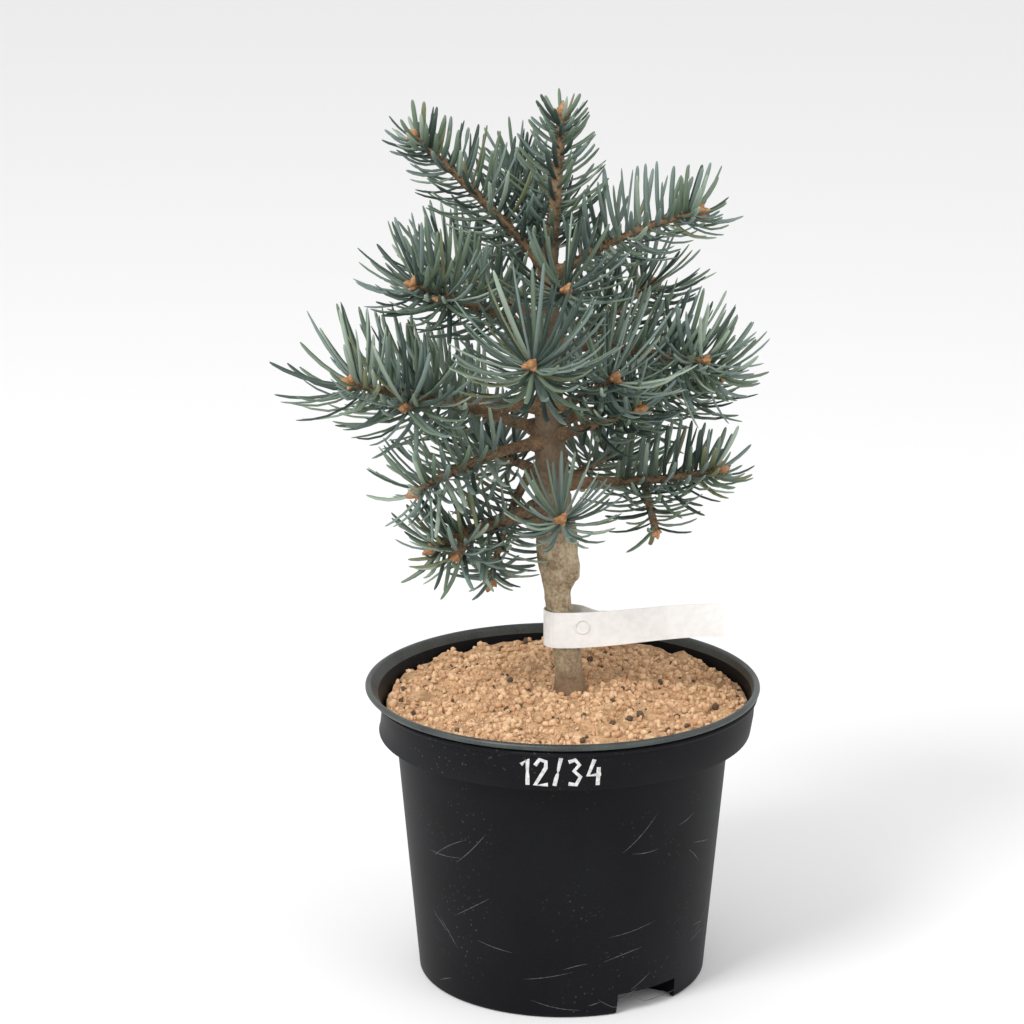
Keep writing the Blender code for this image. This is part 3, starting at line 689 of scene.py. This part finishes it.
def make_writing():
    whole = bmesh.new()
    for digit, left in WRITING:
        for stroke in DIGITS[digit]:
            marks = [on_collar(left + x, WRITING_FOOT + height) for x, height in stroke]
            add_bead(whole, marks, [PEN_HALF] * len(marks), PEN_THICK, 8)
    face_out(whole)
    show("marker_strokes", whole, LOOKS["chalk marker"])


make_writing()

# %% [markdown]
# ## Scratches and scuffs
# A pot that has been dragged over gravel carries a few pale hair scratches and rubbed
# strokes near its foot. Each is a very thin bead on the wall that follows a gentle arc.

# %% Scratch the wall
SCRATCH_SEED = 3
SCRATCHES = 26
SCRATCH_HALF = 0.22 * MM
SCRATCH_THICK = 0.05 * MM
SCRATCH_POINTS = 7
SCRATCH_BLUNTNESS = 0.4
# Limits in millimetres: how far round the front, how low and high, and how long
SCRATCH_AROUND = 80
SCRATCH_LOWEST = 6
SCRATCH_CLIMB = 90
SCRATCH_LENGTHS = (5, 26)


def on_body(x, height):
    climb = (BODY_TOP_RADIUS - FOOT_RADIUS) * (height * MM - FOOT_ROUND)
    radius = FOOT_RADIUS + climb / (COLLAR_FOOT - FOOT_ROUND)
    return on_wall(radius * math.cos(math.pi / POT_SIDES), x, height)


def make_scratches():
    chance = random.Random(SCRATCH_SEED)
    last = SCRATCH_POINTS - 1
    taper = [math.sin(math.pi * (k + SCRATCH_BLUNTNESS) / (last + 2 * SCRATCH_BLUNTNESS))
             for k in range(SCRATCH_POINTS)]
    whole = bmesh.new()
    for _ in range(SCRATCHES):
        x = chance.uniform(-SCRATCH_AROUND, SCRATCH_AROUND)
        height = SCRATCH_LOWEST + SCRATCH_CLIMB * chance.random() ** 1.8
        slope = chance.uniform(-0.9, 0.9)
        bend = chance.uniform(-0.3, 0.3)
        length = chance.uniform(*SCRATCH_LENGTHS)
        marks = []
        for k in range(SCRATCH_POINTS):
            share = k / last
            rise = length * share * (slope + bend * share)
            marks.append(on_body(x + length * share, max(height + rise, 4)))
        add_bead(whole, marks, [SCRATCH_HALF * thin for thin in taper], SCRATCH_THICK, 6)
    face_out(whole)
    show("scratches", whole, LOOKS["rubbed plastic"])


make_scratches()

# %% [markdown]
# ## The potting mix
# The mix is a spun slab. Its top keeps the broad heaps of the solid, and noise at two
# sizes adds clods and crumbs. Thousands of small grains of three tones then lie on it,
# all copies of one ball of twenty faces, squashed, turned and joined into three meshes.

# %% Lift the top of the mix
SOIL_MIDDLE = 141.2 * MM
SOIL_SIDE = 134.8 * MM
SOIL_BACK = 138.2 * MM
SOIL_FRONT = 139.4 * MM
SOIL_LEVEL_REACH = 24 * MM
SOIL_LUMP = 1.5 * MM
TRUNK = (
    (141.5, 3.6, 7.2),
    (147, 3.2, 6.7),
    (162, 1.9, 6.6),
    (181, -1.6, 6.3),
    (192, -2.6, 6.5),
    (199, -2.6, 8.0),
    (206, -2.6, 9.6),
    (219, -3.2, 9.9),
    (232, -4.4, 9.0),
    (246, -5.4, 8.1),
    (271, -6.4, 7.0),
    (295, -6.9, 6.3),
    (320, -7.5, 5.4),
    (344, -7.1, 4.3),
    (360, -6.2, 3.5),
)
SOIL_SIDES = 220
SOIL_STEPS = 80
SOIL_FOOT = 128 * MM
SOIL_EDGE = 90.2 * MM
# Heights in millimetres of the clods and of the crumbs
CLODS = 2.6
CRUMBS = 0.75
# Share of that height left close to the trunk
CALM = 0.35


def soil_height(point):
    """Height of the potting mix at a place inside the pot."""
    radius = math.hypot(point.x, point.y)
    side = point.x / max(radius, MM)
    ahead = -point.y / max(radius, MM)
    edge = SOIL_SIDE + (SOIL_FRONT - SOIL_SIDE) * max(ahead, 0) ** 2
    edge += (SOIL_BACK - SOIL_SIDE) * max(-ahead, 0) ** 2
    slope = smooth_step(radius, 30 * MM, 90 * MM)
    height = SOIL_MIDDLE + (edge - SOIL_MIDDLE) * slope
    lump = math.sin(point.x * 95 + 1.3) * math.sin(point.y * 120 + side)
    lump += 0.6 * math.sin(point.x * 210 + point.y * 60) * math.cos(point.y * 240)
    away = (point - Vector((TRUNK[0][1] * MM, 0, 0))).to_2d().length
    height += SOIL_LUMP * lump * smooth_step(away, SOIL_LEVEL_REACH, SOIL_LEVEL_REACH + 12 * MM)
    return min(height, SOIL_MIDDLE) if away < SOIL_LEVEL_REACH else height


def rough_height(x, y):
    point = Vector((x, y, 0))
    away = math.hypot(x - TRUNK[0][1] * MM, y)
    calm = CALM + (1 - CALM) * smooth_step(away, 10 * MM, 30 * MM)
    clods = noise.fractal(point * 90, 0.8, 2.1, 4) * CLODS * MM
    crumbs = noise.fractal(point * 420 + UP * 3, 0.9, 2.0, 3) * CRUMBS * MM
    return soil_height(point) + (clods + crumbs) * calm


def wall_limit(x, y, radius):
    """How far out the mix reaches at an angle, following the dent in the collar."""
    edge = dent_collar(Vector((x, y, 0)).normalized() * SOIL_EDGE + UP * SOIL_SIDE)
    return min(radius, edge.to_2d().length)


def make_mix():
    top = [(SOIL_EDGE * k / SOIL_STEPS, LIP_TOP) for k in range(SOIL_STEPS + 1)]
    bm = spun(top + [(SOIL_EDGE, SOIL_FOOT), (0, SOIL_FOOT)], SOIL_SIDES)
    for vert in bm.verts:
        radius = vert.co.to_2d().length
        if radius > MM:
            scale = wall_limit(vert.co.x, vert.co.y, radius) / radius
            vert.co.x *= scale
            vert.co.y *= scale
        if vert.co.z > LIP_TOP - MERGE:
            vert.co.z = rough_height(vert.co.x, vert.co.y)
    face_out(bm)
    show("mix_bed", bm, LOOKS["potting mix"], ["soil"], sharp=80)


make_mix()

# %% Strew the grains
GRAINS = {"pale crumb": 2900, "tan crumb": 2700, "dark crumb": 260}
GRAIN_SEED = 11
GRAIN_REACH = 88.5 * MM
GRAIN_CLEAR = 8 * MM
SMALLEST_GRAIN = 0.35
LARGEST_GRAIN = 2.5
# The higher this power, the rarer the large grains
GRAIN_RARITY = 2.4


def place_grains(count, chance):
    bm = bmesh.new()
    bmesh.ops.create_icosphere(bm, subdivisions=1, radius=1)
    points, faces = template_arrays(bm)
    clouds = []
    while len(clouds) < count:
        angle = chance.uniform(0, math.tau)
        radius = GRAIN_REACH * math.sqrt(chance.random())
        x, y = radius * math.cos(angle), radius * math.sin(angle)
        if math.hypot(x - TRUNK[0][1] * MM, y) < GRAIN_CLEAR:
            continue
        if wall_limit(x, y, radius + 2 * MM) < radius + 1.5 * MM:
            continue
        size = (SMALLEST_GRAIN + (LARGEST_GRAIN - SMALLEST_GRAIN) * chance.random() ** GRAIN_RARITY) * MM
        shape = Matrix.Diagonal((size, size * chance.uniform(0.6, 1), size * chance.uniform(0.4, 0.8)))
        turn = Euler([chance.uniform(0, math.tau) for _ in range(3)]).to_matrix()
        cloud = points @ np.array((turn @ shape).transposed())
        clouds.append(cloud + np.array((x, y, rough_height(x, y) + size * 0.3)))
    return np.array(clouds), faces


chance = random.Random(GRAIN_SEED)
for look, count in GRAINS.items():
    clouds, faces = place_grains(count, chance)
    joined(look.replace(" ", "_"), clouds, faces, LOOKS[look])

# %% [markdown]
# ## The trunk
# The trunk is drawn out of one circle through many rings, so its taper, lean and swelling
# follow the same named rows as the solid. Noise then raises plates of bark and rings of
# wrinkles, and the healed lip of the graft stands out at the right.

# %% Smooth the trunk's rows


def catmull(values, share):
    """Value of a Catmull-Rom curve between the second and third of four values."""
    a, b, c, d = values
    slope = (c - a) * share
    bend = (2 * a - 5 * b + 4 * c - d) * share ** 2
    turn = (3 * b - a - 3 * c + d) * share ** 3
    return 0.5 * (2 * b + slope + bend + turn)


def trunk_at(height):
    """Middle and radius of the trunk at a height, on a smooth curve through TRUNK."""
    heights = [row[0] * MM for row in TRUNK]
    height = min(max(height, heights[0]), heights[-1])
    index = max(k for k, value in enumerate(heights[:-1]) if value <= height)
    share = (height - heights[index]) / (heights[index + 1] - heights[index])
    rows = [TRUNK[min(max(index + k, 0), len(TRUNK) - 1)] for k in (-1, 0, 1, 2)]
    place, radius = (catmull([row[column] for row in rows], share) * MM for column in (1, 2))
    return Vector((place, 0, height)), radius


# %% Draw out the trunk
GRAFT_HEIGHT = 201 * MM
GRAFT_REACH = 10.5 * MM
GRAFT_AZIMUTH = 62.0
GRAFT_BULGE = 2.6 * MM
GRAFT_LIP = 0.9 * MM
BARK_SIDES = 40
BARK_STEP = 1.3 * MM
TRUNK_SINK = 4 * MM
FLARE = 1.2 * MM
FLARE_HEIGHT = 14 * MM
# Frequencies across and along the trunk, and height in millimetres
Relief = namedtuple("Relief", "across along height")
WRINKLES = Relief(90, 520, 0.32)
PLATES = Relief(260, 130, 0.34)
WARTS = Relief(300, 300, 1.6)
WART_LEVEL = 0.35


def stretched(point, height, relief):
    return Vector((point.x * relief.across, point.y * relief.across, height * relief.along))


def bark_relief(point, height):
    wrinkles = noise.noise(stretched(point, height, WRINKLES)) * WRINKLES.height
    plates = noise.fractal(stretched(point, height, PLATES), 0.9, 2, 3) * PLATES.height
    warts = max(noise.noise(stretched(point, height, WARTS)) - WART_LEVEL, 0) * WARTS.height
    rough = 0.75 + 0.8 * smooth_step(height, 205 * MM, 240 * MM)
    return (wrinkles + plates + warts) * rough * MM


def trunk_rings(foot, top):
    count = round((top - foot) / BARK_STEP)
    rings = []
    for k in range(count + 1):
        height = foot + (top - foot) * k / count
        middle, radius = trunk_at(height)
        centre = Vector((middle.x, middle.y, height))
        rings.append(ring_matrix(centre, UP, RIGHT, radius, radius))
    return rings


def make_trunk():
    foot = TRUNK[0][0] * MM - TRUNK_SINK
    bm = limb(trunk_rings(foot, TRUNK[-1][0] * MM), BARK_SIDES)
    side = outward(GRAFT_AZIMUTH)
    for vert in bm.verts:
        height = vert.co.z
        middle = trunk_at(height)[0]
        out = Vector((vert.co.x - middle.x, vert.co.y - middle.y, 0))
        if out.length < 0.2 * MM:
            continue
        out.normalize()
        near = 1 - smooth_step(abs(height - GRAFT_HEIGHT), 0, GRAFT_REACH)
        lip = 1 - smooth_step(abs(height - GRAFT_HEIGHT + 2 * MM), 0, 3 * MM)
        facing = max(out.dot(side), 0) ** 2
        vert.co += side * (GRAFT_BULGE * near + GRAFT_LIP * lip) * facing
        vert.co += out * bark_relief(vert.co, height)
        flare = 1 - smooth_step(height, foot, foot + FLARE_HEIGHT)
        vert.co += out * FLARE * flare
    face_out(bm)
    show("bark_of_trunk", bm, LOOKS["trunk bark"], ["trunk"], sharp=70)


make_trunk()

# %% [markdown]
# ## Shoots
# One row describes each shoot: where it leaves the trunk, which way its tip lies and how
# far, how long the bare limb is and how long its needles are. The limb, the twig and the
# needles all follow from that row, by the same rule as in the solids.

# %% List the shoots
Shoot = namedtuple("Shoot", "name root azimuth reach rise arch bare thick needle tip twigs")
SHOOTS = (
    Shoot("upper_left", 352, 277, 63, 60, 2, 9, 3.1, 34, 0.55, ()),
    Shoot("upper_right", 347, 77, 71, 32, 4, 10, 3.1, 34, 0.7, ()),
    Shoot("upper_back", 344, 200, 50, 46, 2, 10, 3.0, 34, 0.7, ()),
    Shoot("upper_front", 338, 13, 37, 8, -1, 9, 2.8, 38, 1.0, ()),
    Shoot("left_high", 318, 303, 73, 31, 2, 18, 3.2, 38, 0.9, ((0.6, 40, 8, 18),)),
    Shoot("front_centre", 296, 355, 84, 26, -2, 26, 3.4, 47, 1.0, ()),
    Shoot("right_front", 284, 35, 51, 22, -1, 15, 3.0, 44, 1.0, ()),
    Shoot("right_high", 312, 84, 82, -11, 4, 22, 3.2, 38, 0.8, ((0.6, -42, 8, 20),)),
    Shoot("back_left_high", 323, 225, 72, 15, 2, 18, 3.2, 39, 0.9, ()),
    Shoot("back_right_high", 301, 140, 76, 29, 2, 18, 3.2, 39, 0.9, ()),
    Shoot("left_long", 284, 296, 101, 20, -3, 34, 3.6, 43, 1.0, ((0.4, 42, 2, 24),)),
    Shoot("left_back", 272, 253, 78, 16, -1, 24, 3.2, 39, 0.9, ()),
    Shoot("back_middle", 286, 182, 84, 14, -2, 24, 3.4, 40, 1.0, ()),
    Shoot("right_back", 276, 118, 80, 8, -1, 24, 3.2, 39, 0.9, ((0.5, 40, 4, 20),)),
    Shoot("right_middle", 270, 50, 53, 19, 0, 17, 2.8, 34, 0.8, ()),
    Shoot("left_low", 266, 306, 76, -13, 3, 24, 3.2, 36, 0.8, ()),
    Shoot("right_low", 246, 78, 80, 10, -2, 24, 3.2, 33, 0.7, ((0.27, -50, -60, 25),)),
    Shoot("front_low", 226, 4, 44, 13, 0, 16, 2.8, 33, 1.0, ()),
    Shoot("left_lowest", 232, 295, 62, -12, 2, 18, 4.8, 33, 0.8, ((0.5, 44, -24, 18),)),
    Shoot("left_hanging", 252, 274, 29, -54, 8, 20, 2.8, 30, 0.8, ()),
    Shoot("back_left_low", 248, 212, 66, -2, 1, 20, 3.0, 36, 0.9, ()),
    Shoot("back_right_low", 242, 150, 64, 4, 1, 18, 3.0, 36, 0.9, ()),
)
LEADER_TIP = (-1.2, 1.0, 421)
LEADER_NEEDLE = 32
LEADER_TIP_SHARE = 0.5
STEM_SHARE = 0.74
GAP = 0.3 * MM
STEM_STEP = 3 * MM
print("shoots:", len(SHOOTS))

# %% Define the paths of limbs and twigs


def bezier(points, share):
    start, control, end = points
    rest = 1 - share
    return start * rest * rest + control * 2 * rest * share + end * share * share


def bezier_direction(points, share):
    start, control, end = points
    return ((control - start) * (1 - share) + (end - control) * share).normalized()


def path_frames(points, first_along=None, last_along=None):
    """Direction and side of a path at each of its points, carried along untwisted."""
    frames = []
    across = None
    for index in range(len(points)):
        before = points[max(index - 1, 0)]
        after = points[min(index + 1, len(points) - 1)]
        along = (after - before).normalized()
        if index == 0 and first_along is not None:
            along = first_along
        if index == len(points) - 1 and last_along is not None:
            along = last_along
        if across is None:
            across = RIGHT if abs(along.z) > 0.9 else along.cross(UP)
        across = (across - along * across.dot(along)).normalized()
        frames.append((along, across))
    return frames


def path_rings(points, radii, frames):
    rows = zip(points, radii, frames)
    return [ring_matrix(point, along, across, radius, radius)
            for point, radius, (along, across) in rows]


def shoot_curve(shoot):
    """Start, control and end point of a shoot's middle line, from the trunk's skin."""
    middle, radius = trunk_at(shoot.root * MM)
    out = outward(shoot.azimuth)
    start = middle + out * (radius + GAP)
    end = middle + out * shoot.reach * MM + UP * shoot.rise * MM
    return start, (start + end) / 2 + UP * 2 * shoot.arch * MM, end


def curve_points(curve, low, high, step):
    length = (curve[2] - curve[0]).length
    count = max(round(length * (high - low) / step), 2)
    return [bezier(curve, low + (high - low) * k / count) for k in range(count + 1)]


# %% Define stems with side twigs
Twig = namedtuple("Twig", "points radii frames")


def stem_with_twigs(points, radius, side_twigs, first_along=None):
    last = len(points) - 1
    radii = [radius * (1 - 0.3 * k / last) for k in range(last)] + [radius * 0.95]
    twigs = [Twig(points, radii, path_frames(points, first_along))]
    for share, turn, rise, length in side_twigs:
        place = share * last
        index = int(place)
        start = points[index].lerp(points[index + 1], place - index)
        along = (points[index + 1] - points[index]).normalized()
        level = Matrix.Rotation(math.radians(turn), 3, "Z") @ Vector((along.x, along.y, 0))
        tilt = math.radians(rise)
        heading = level.normalized() * math.cos(tilt) + UP * math.sin(tilt)
        side = [start, start + heading * length * MM]
        twigs.append(Twig(side, [radius * 0.75, radius * 0.8], path_frames(side)))
    return twigs


def segments_of(twigs):
    """All pieces of some middle lines, as arrays of starts and ends."""
    starts = [point for twig in twigs for point in twig.points[:-1]]
    ends = [point for twig in twigs for point in twig.points[1:]]
    return np.array(starts), np.array(ends)


# %% Lay the limbs and the stems
LIMB_STEP = 2.5 * MM
LIMB_SINK = 2.5 * MM
LEADER_STEPS = 20


def limb_twig(shoot):
    """The bare limb of a shoot, run a little into the trunk so that no gap shows."""
    curve = shoot_curve(shoot)
    share = shoot.bare * MM / (curve[2] - curve[0]).length
    points = curve_points(curve, 0, share, LIMB_STEP)
    points[0] -= outward(shoot.azimuth) * LIMB_SINK
    last = len(points) - 1
    radii = [shoot.thick * MM * (1 - (1 - STEM_SHARE) * k / last) for k in range(last + 1)]
    radii[0] *= 1.5
    radii[1] *= 1.25
    frames = path_frames(points, outward(shoot.azimuth), bezier_direction(curve, share))
    return Twig(points, radii, frames)


def foliage_twigs(shoot):
    curve = shoot_curve(shoot)
    start = (shoot.bare * MM - MM) / (curve[2] - curve[0]).length
    points = curve_points(curve, start, 1, STEM_STEP)
    radius = shoot.thick * STEM_SHARE * MM
    return stem_with_twigs(points, radius, shoot.twigs, bezier_direction(curve, start))


LIMBS = [limb_twig(shoot) for shoot in SHOOTS]
Spray = namedtuple("Spray", "name twigs length tip")
SPRAYS = [Spray(shoot.name, foliage_twigs(shoot), shoot.needle, shoot.tip) for shoot in SHOOTS]
top, radius = trunk_at(TRUNK[-1][0] * MM)
leader_tip = Vector(LEADER_TIP) * MM
leader = [(top - UP * MM).lerp(leader_tip, k / LEADER_STEPS) for k in range(LEADER_STEPS + 1)]
leader_twigs = stem_with_twigs(leader, radius * 0.95, ())
SPRAYS.append(Spray("leader", leader_twigs, LEADER_NEEDLE, LEADER_TIP_SHARE))
print("limbs:", len(LIMBS), "sprays:", len(SPRAYS))

# %% [markdown]
# ## Limbs and twigs
# Limbs and twigs are drawn out like the trunk, with fewer sides. A fir's twig is rough
# with the cushions of old needles, so the relief on the twigs is stronger.

# %% Draw out limbs and twigs
LIMB_SIDES = 14
LIMB_RELIEF = 0.55 * MM
TWIG_SIDES = 10
TWIG_RELIEF = 0.6 * MM
RELIEF_FREQUENCY = 520


def rough_limb(twig, sides, relief):
    bm = limb(path_rings(*twig), sides)
    face_out(bm)
    bm.normal_update()
    moves = [vert.normal * noise.fractal(vert.co * RELIEF_FREQUENCY, 0.9, 2, 2) * relief
             for vert in bm.verts]
    for vert, move in zip(bm.verts, moves):
        vert.co += move
    return bm


def make_limbs(name, twigs, sides, relief, nodes):
    whole = bmesh.new()
    for twig in twigs:
        add_to(whole, rough_limb(twig, sides, relief))
    show(name, whole, LOOKS["bough bark"], nodes, sharp=70)


every_twig = [twig for spray in SPRAYS for twig in spray.twigs]
make_limbs("bark_of_boughs", LIMBS, LIMB_SIDES, LIMB_RELIEF, ["bough_" + s.name for s in SHOOTS])
make_limbs("twigs", every_twig, TWIG_SIDES, TWIG_RELIEF, ["foliage_" + s.name for s in SPRAYS])

# %% [markdown]
# ## Needles
# Needles sit round a twig by the golden angle, stand nearly square to it and bend up.
# They crowd into a rosette at the tip. A needle that would cross a limb, or reach into
# another spray, is cut shorter or left out. One needle is modelled as a slim flat spindle
# with a blunt tip, and numpy bends its copies along their curves.

# %% Measure the room for needles
SPRAY_OVERLAP = 14 * MM
LIMB_SEGMENTS = segments_of(LIMBS)
LIMB_RADII = np.array([r for twig in LIMBS for r in twig.radii[:-1]])
TRUNK_LINE = [trunk_at(row[0] * MM)[0] for row in TRUNK]
TRUNK_SEGMENTS = segments_of([Twig(TRUNK_LINE, None, None)])
TRUNK_RADIUS = 8 * MM
# Needles above this height may stand close to the trunk, and none hangs under the other
CROWN_HEIGHT = 0.33
LOWEST_NEEDLE = 193 * MM


def clearances(points, segments, radii=0):
    """Distance of each point from the skin of each segment of some limbs."""
    starts, ends = segments
    runs = ends - starts
    away = points[:, None, :] - starts[None, :, :]
    share = np.clip((away * runs).sum(2) / (runs * runs).sum(1), 0, 1)
    near = starts + share[:, :, None] * runs
    return np.linalg.norm(points[:, None, :] - near, axis=2) - radii


def fits(line, own, others):
    samples = [line[0].lerp(line[1], 0.6), line[1], line[1].lerp(line[2], 0.5), line[2]]
    points = np.array(samples)
    crossing = clearances(points, others).min(1) - clearances(points, own).min(1)
    if (crossing < -SPRAY_OVERLAP).any():
        return False
    if clearances(points[1:], LIMB_SEGMENTS, LIMB_RADII).min() < MM:
        return False
    by_trunk = (clearances(points, TRUNK_SEGMENTS).min(1) < TRUNK_RADIUS).any()
    if by_trunk and line[2].z < CROWN_HEIGHT:
        return False
    return line[2].z > LOWEST_NEEDLE


print("limb segments:", len(LIMB_RADII))

# %% Define how needles grow
NEEDLE_STEP = 0.72 * MM
ROSETTE = 26
ROSETTE_LENGTH = 9 * MM
GOLDEN_ANGLE = 137.508
NEEDLE_SEED = 700
LIFT = (0.6, 1.15)
CUTS = (1.0, 0.86, 0.72, 0.58)


def place_on(twig, place):
    index = 0
    while index < len(twig.points) - 2:
        step = (twig.points[index + 1] - twig.points[index]).length
        if place < step:
            break
        place -= step
        index += 1
    start, end = twig.points[index], twig.points[index + 1]
    share = min(place / (end - start).length, 1)
    return start.lerp(end, share), twig.frames[index], twig.radii[index]


def needle_curve(twig, place, turn, spread, length, lift):
    centre, (along, across), radius = place_on(twig, place)
    above = along.cross(across)
    angle = math.radians(turn)
    radial = across * math.cos(angle) + above * math.sin(angle)
    opening = math.radians(spread)
    root = centre + radial * radius * 0.6
    heading = along * math.cos(opening) + radial * math.sin(opening)
    if heading.z < 0:
        heading.z *= 0.7
        heading.normalize()
    middle = root + heading * length * 0.5
    bent = (heading + UP * lift + along * 0.15).normalized()
    return root, middle, middle + bent * length * 0.5


def growing_places(twig, is_stem, length, tip):
    run = sum((b - a).length for a, b in zip(twig.points, twig.points[1:]))
    rosette = ROSETTE if is_stem else ROSETTE // 2
    zone = min(ROSETTE_LENGTH, run * 0.4)
    count = max(int((run - zone) / NEEDLE_STEP), 1)
    for index in range(count):
        share = (index + 0.5) / count
        shorter = 1 - (1 - tip) * max(share - 0.4, 0) / 0.6
        yield (run - zone) * share, 78 - 10 * share, length * shorter * min(0.8 + share, 1)
    for index in range(rosette):
        share = (index + 0.5) / rosette
        yield run - zone * (1 - share) - 0.5 * MM, 72 - 30 * share * share, length * tip


def grow(spray, number):
    own = segments_of(spray.twigs)
    others = segments_of([twig for other in SPRAYS if other is not spray for twig in other.twigs])
    chance = random.Random(NEEDLE_SEED + number)
    lines = []
    for twig in spray.twigs:
        turn = chance.uniform(0, 360)
        for place, spread, full in growing_places(twig, twig is spray.twigs[0], spray.length, spray.tip):
            turn += GOLDEN_ANGLE + chance.uniform(-9, 9)
            full *= chance.uniform(0.88, 1.05) * MM
            lift = chance.uniform(*LIFT)
            for cut in CUTS:
                opening = spread + chance.uniform(-7, 7)
                line = needle_curve(twig, place, turn, opening, full * cut, lift)
                if fits(line, own, others):
                    lines.append(line)
                    break
    return lines


# %% Model one needle and bend its copies
NEEDLE_SIDES = 6
NEEDLE_WIDTH = 2.5 * MM
NEEDLE_THICK = 1.1 * MM
# Share of the length and of the width at each ring of a needle
NEEDLE_RINGS = ((0, 0.5), (0.12, 0.86), (0.35, 1), (0.6, 1), (0.82, 0.92), (0.95, 0.66), (1, 0.3))


def needle_template():
    rings = [Matrix.Translation((0, 0, along)) @ Matrix.Diagonal((width / 2, width / 2, 1, 1))
             for along, width in NEEDLE_RINGS]
    return template_arrays(limb(rings, NEEDLE_SIDES))


def bend_needles(lines, points, chance):
    """Lay the template along each needle's curve, flat side up."""
    roots, middles, tips = (np.array([line[k] for line in lines])[:, None, :] for k in range(3))
    share = points[:, 2][None, :, None]
    centres = roots * (1 - share) ** 2 + middles * 2 * share * (1 - share) + tips * share ** 2
    along = (middles - roots) * (1 - share) + (tips - middles) * share
    along /= np.linalg.norm(along, axis=2, keepdims=True)
    tilt = np.array([[chance.uniform(-0.5, 0.5), chance.uniform(-0.5, 0.5), 1] for _ in lines])
    across = np.cross(along, tilt[:, None, :])
    across /= np.linalg.norm(across, axis=2, keepdims=True)
    above = np.cross(across, along)
    wide = NEEDLE_WIDTH * np.array([chance.uniform(0.88, 1.1) for _ in lines])[:, None, None]
    sideways = across * points[:, 0][None, :, None] * wide
    return centres + sideways + above * points[:, 1][None, :, None] * NEEDLE_THICK


# %% Deal the needles out to the tones
DEALER_SEED = 40
# Chances of each tone in a spray: blue, green, pale, deep, olive
SPRAY_MIXES = (
    (5, 3, 2, 1, 0.3),
    (3, 5, 1, 2, 0.5),
    (3, 3, 3, 1, 0.3),
    (3, 3, 1, 4, 0.6),
)
tone_names = list(NEEDLE_TONES)
dealt = {name: [] for name in tone_names}
dealer = random.Random(DEALER_SEED)
for number, spray in enumerate(SPRAYS):
    mix = SPRAY_MIXES[dealer.randrange(len(SPRAY_MIXES))]
    for line in grow(spray, number):
        dealt[dealer.choices(tone_names, mix)[0]].append(line)
needle_points, needle_faces = needle_template()
for name, lines in dealt.items():
    clouds = bend_needles(lines, needle_points, dealer)
    joined("needles_" + name, clouds, needle_faces, NEEDLE_LOOKS[name])
print("needles in all:", sum(len(lines) for lines in dealt.values()))

# %% [markdown]
# ## Buds
# Each shoot ends in a cluster of resinous orange-brown buds: one ahead and a few round
# it. One bud is a small ball drawn to a point and ridged like overlapping scales.

# %% Set the buds
BUD_RADIUS = 2.3 * MM
BUD_LENGTH = 4.2 * MM
BUD_SEED = 77
BUDS_AROUND = 3
SIDE_BUD = 0.78
BUD_TAPER = 0.45


def bud_template():
    bm = bmesh.new()
    bmesh.ops.create_icosphere(bm, subdivisions=2, radius=1)
    for vert in bm.verts:
        ridge = 1 + 0.07 * math.cos(vert.co.z * 14)
        width = (1 - BUD_TAPER * max(vert.co.z, 0)) * ridge
        vert.co.x *= width
        vert.co.y *= width
    return template_arrays(bm)


def bud_cluster(twig, size, points, chance):
    """Placed copies of a bud: one ahead of a twig's tip, and a few leaning round it."""
    along, across = twig.frames[-1]
    for index in range(BUDS_AROUND + 1):
        lean = 0 if index == 0 else math.radians(chance.uniform(42, 62))
        angle = math.tau * index / BUDS_AROUND + chance.uniform(-0.3, 0.3)
        side = Matrix.Rotation(angle, 3, along) @ across
        heading = along * math.cos(lean) + side * math.sin(lean)
        basis = heading.to_track_quat("Z", "Y").to_matrix()
        scale = size * chance.uniform(0.8, 1.05) * (1 if index == 0 else SIDE_BUD)
        shape = Matrix.Diagonal((BUD_RADIUS * scale, BUD_RADIUS * scale, BUD_LENGTH * scale))
        centre = twig.points[-1] + heading * BUD_LENGTH * scale * 0.7
        yield points @ np.array((basis @ shape).transposed()) + np.array(centre)


def bud_clouds(points):
    chance = random.Random(BUD_SEED)
    clouds = []
    for spray in SPRAYS:
        for twig in spray.twigs:
            size = 1.0 if twig is spray.twigs[0] else 0.7
            clouds += bud_cluster(twig, size, points, chance)
    return np.array(clouds)


bud_points, bud_faces = bud_template()
joined("buds", bud_clouds(bud_points), bud_faces, LOOKS["bud scales"])

# %% [markdown]
# ## The label
# The label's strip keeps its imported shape, a ribbon looped round the trunk, and takes a
# slightly soiled white film. A small ring is pressed into it where the loop is fastened.

# %% Finish the label
RING_CENTRE = Vector((9.5, -8.0, 175.8)) * MM
RING_RADIUS = 3.3 * MM
RING_WIRE = 0.28 * MM
QUARTER_TURN = Matrix.Rotation(math.pi / 2, 4, "X")


def make_ring():
    bm = bmesh.new()
    wire = Matrix.Translation((RING_RADIUS, 0, 0)) @ QUARTER_TURN
    made = bmesh.ops.create_circle(bm, segments=8, radius=RING_WIRE, matrix=wire)
    bmesh.ops.spin(bm, geom=made["verts"] + bm.edges[:], axis=UP, cent=(0, 0, 0), steps=40,
                   angle=math.tau, use_merge=True)
    upright = Matrix.Translation(RING_CENTRE) @ QUARTER_TURN
    bmesh.ops.transform(bm, matrix=upright, verts=bm.verts)
    face_out(bm)
    show("label_ring", bm, LOOKS["white film"])


make_ring()
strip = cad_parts["label"]
strip.data.materials.clear()
strip.data.materials.append(LOOKS["white film"])
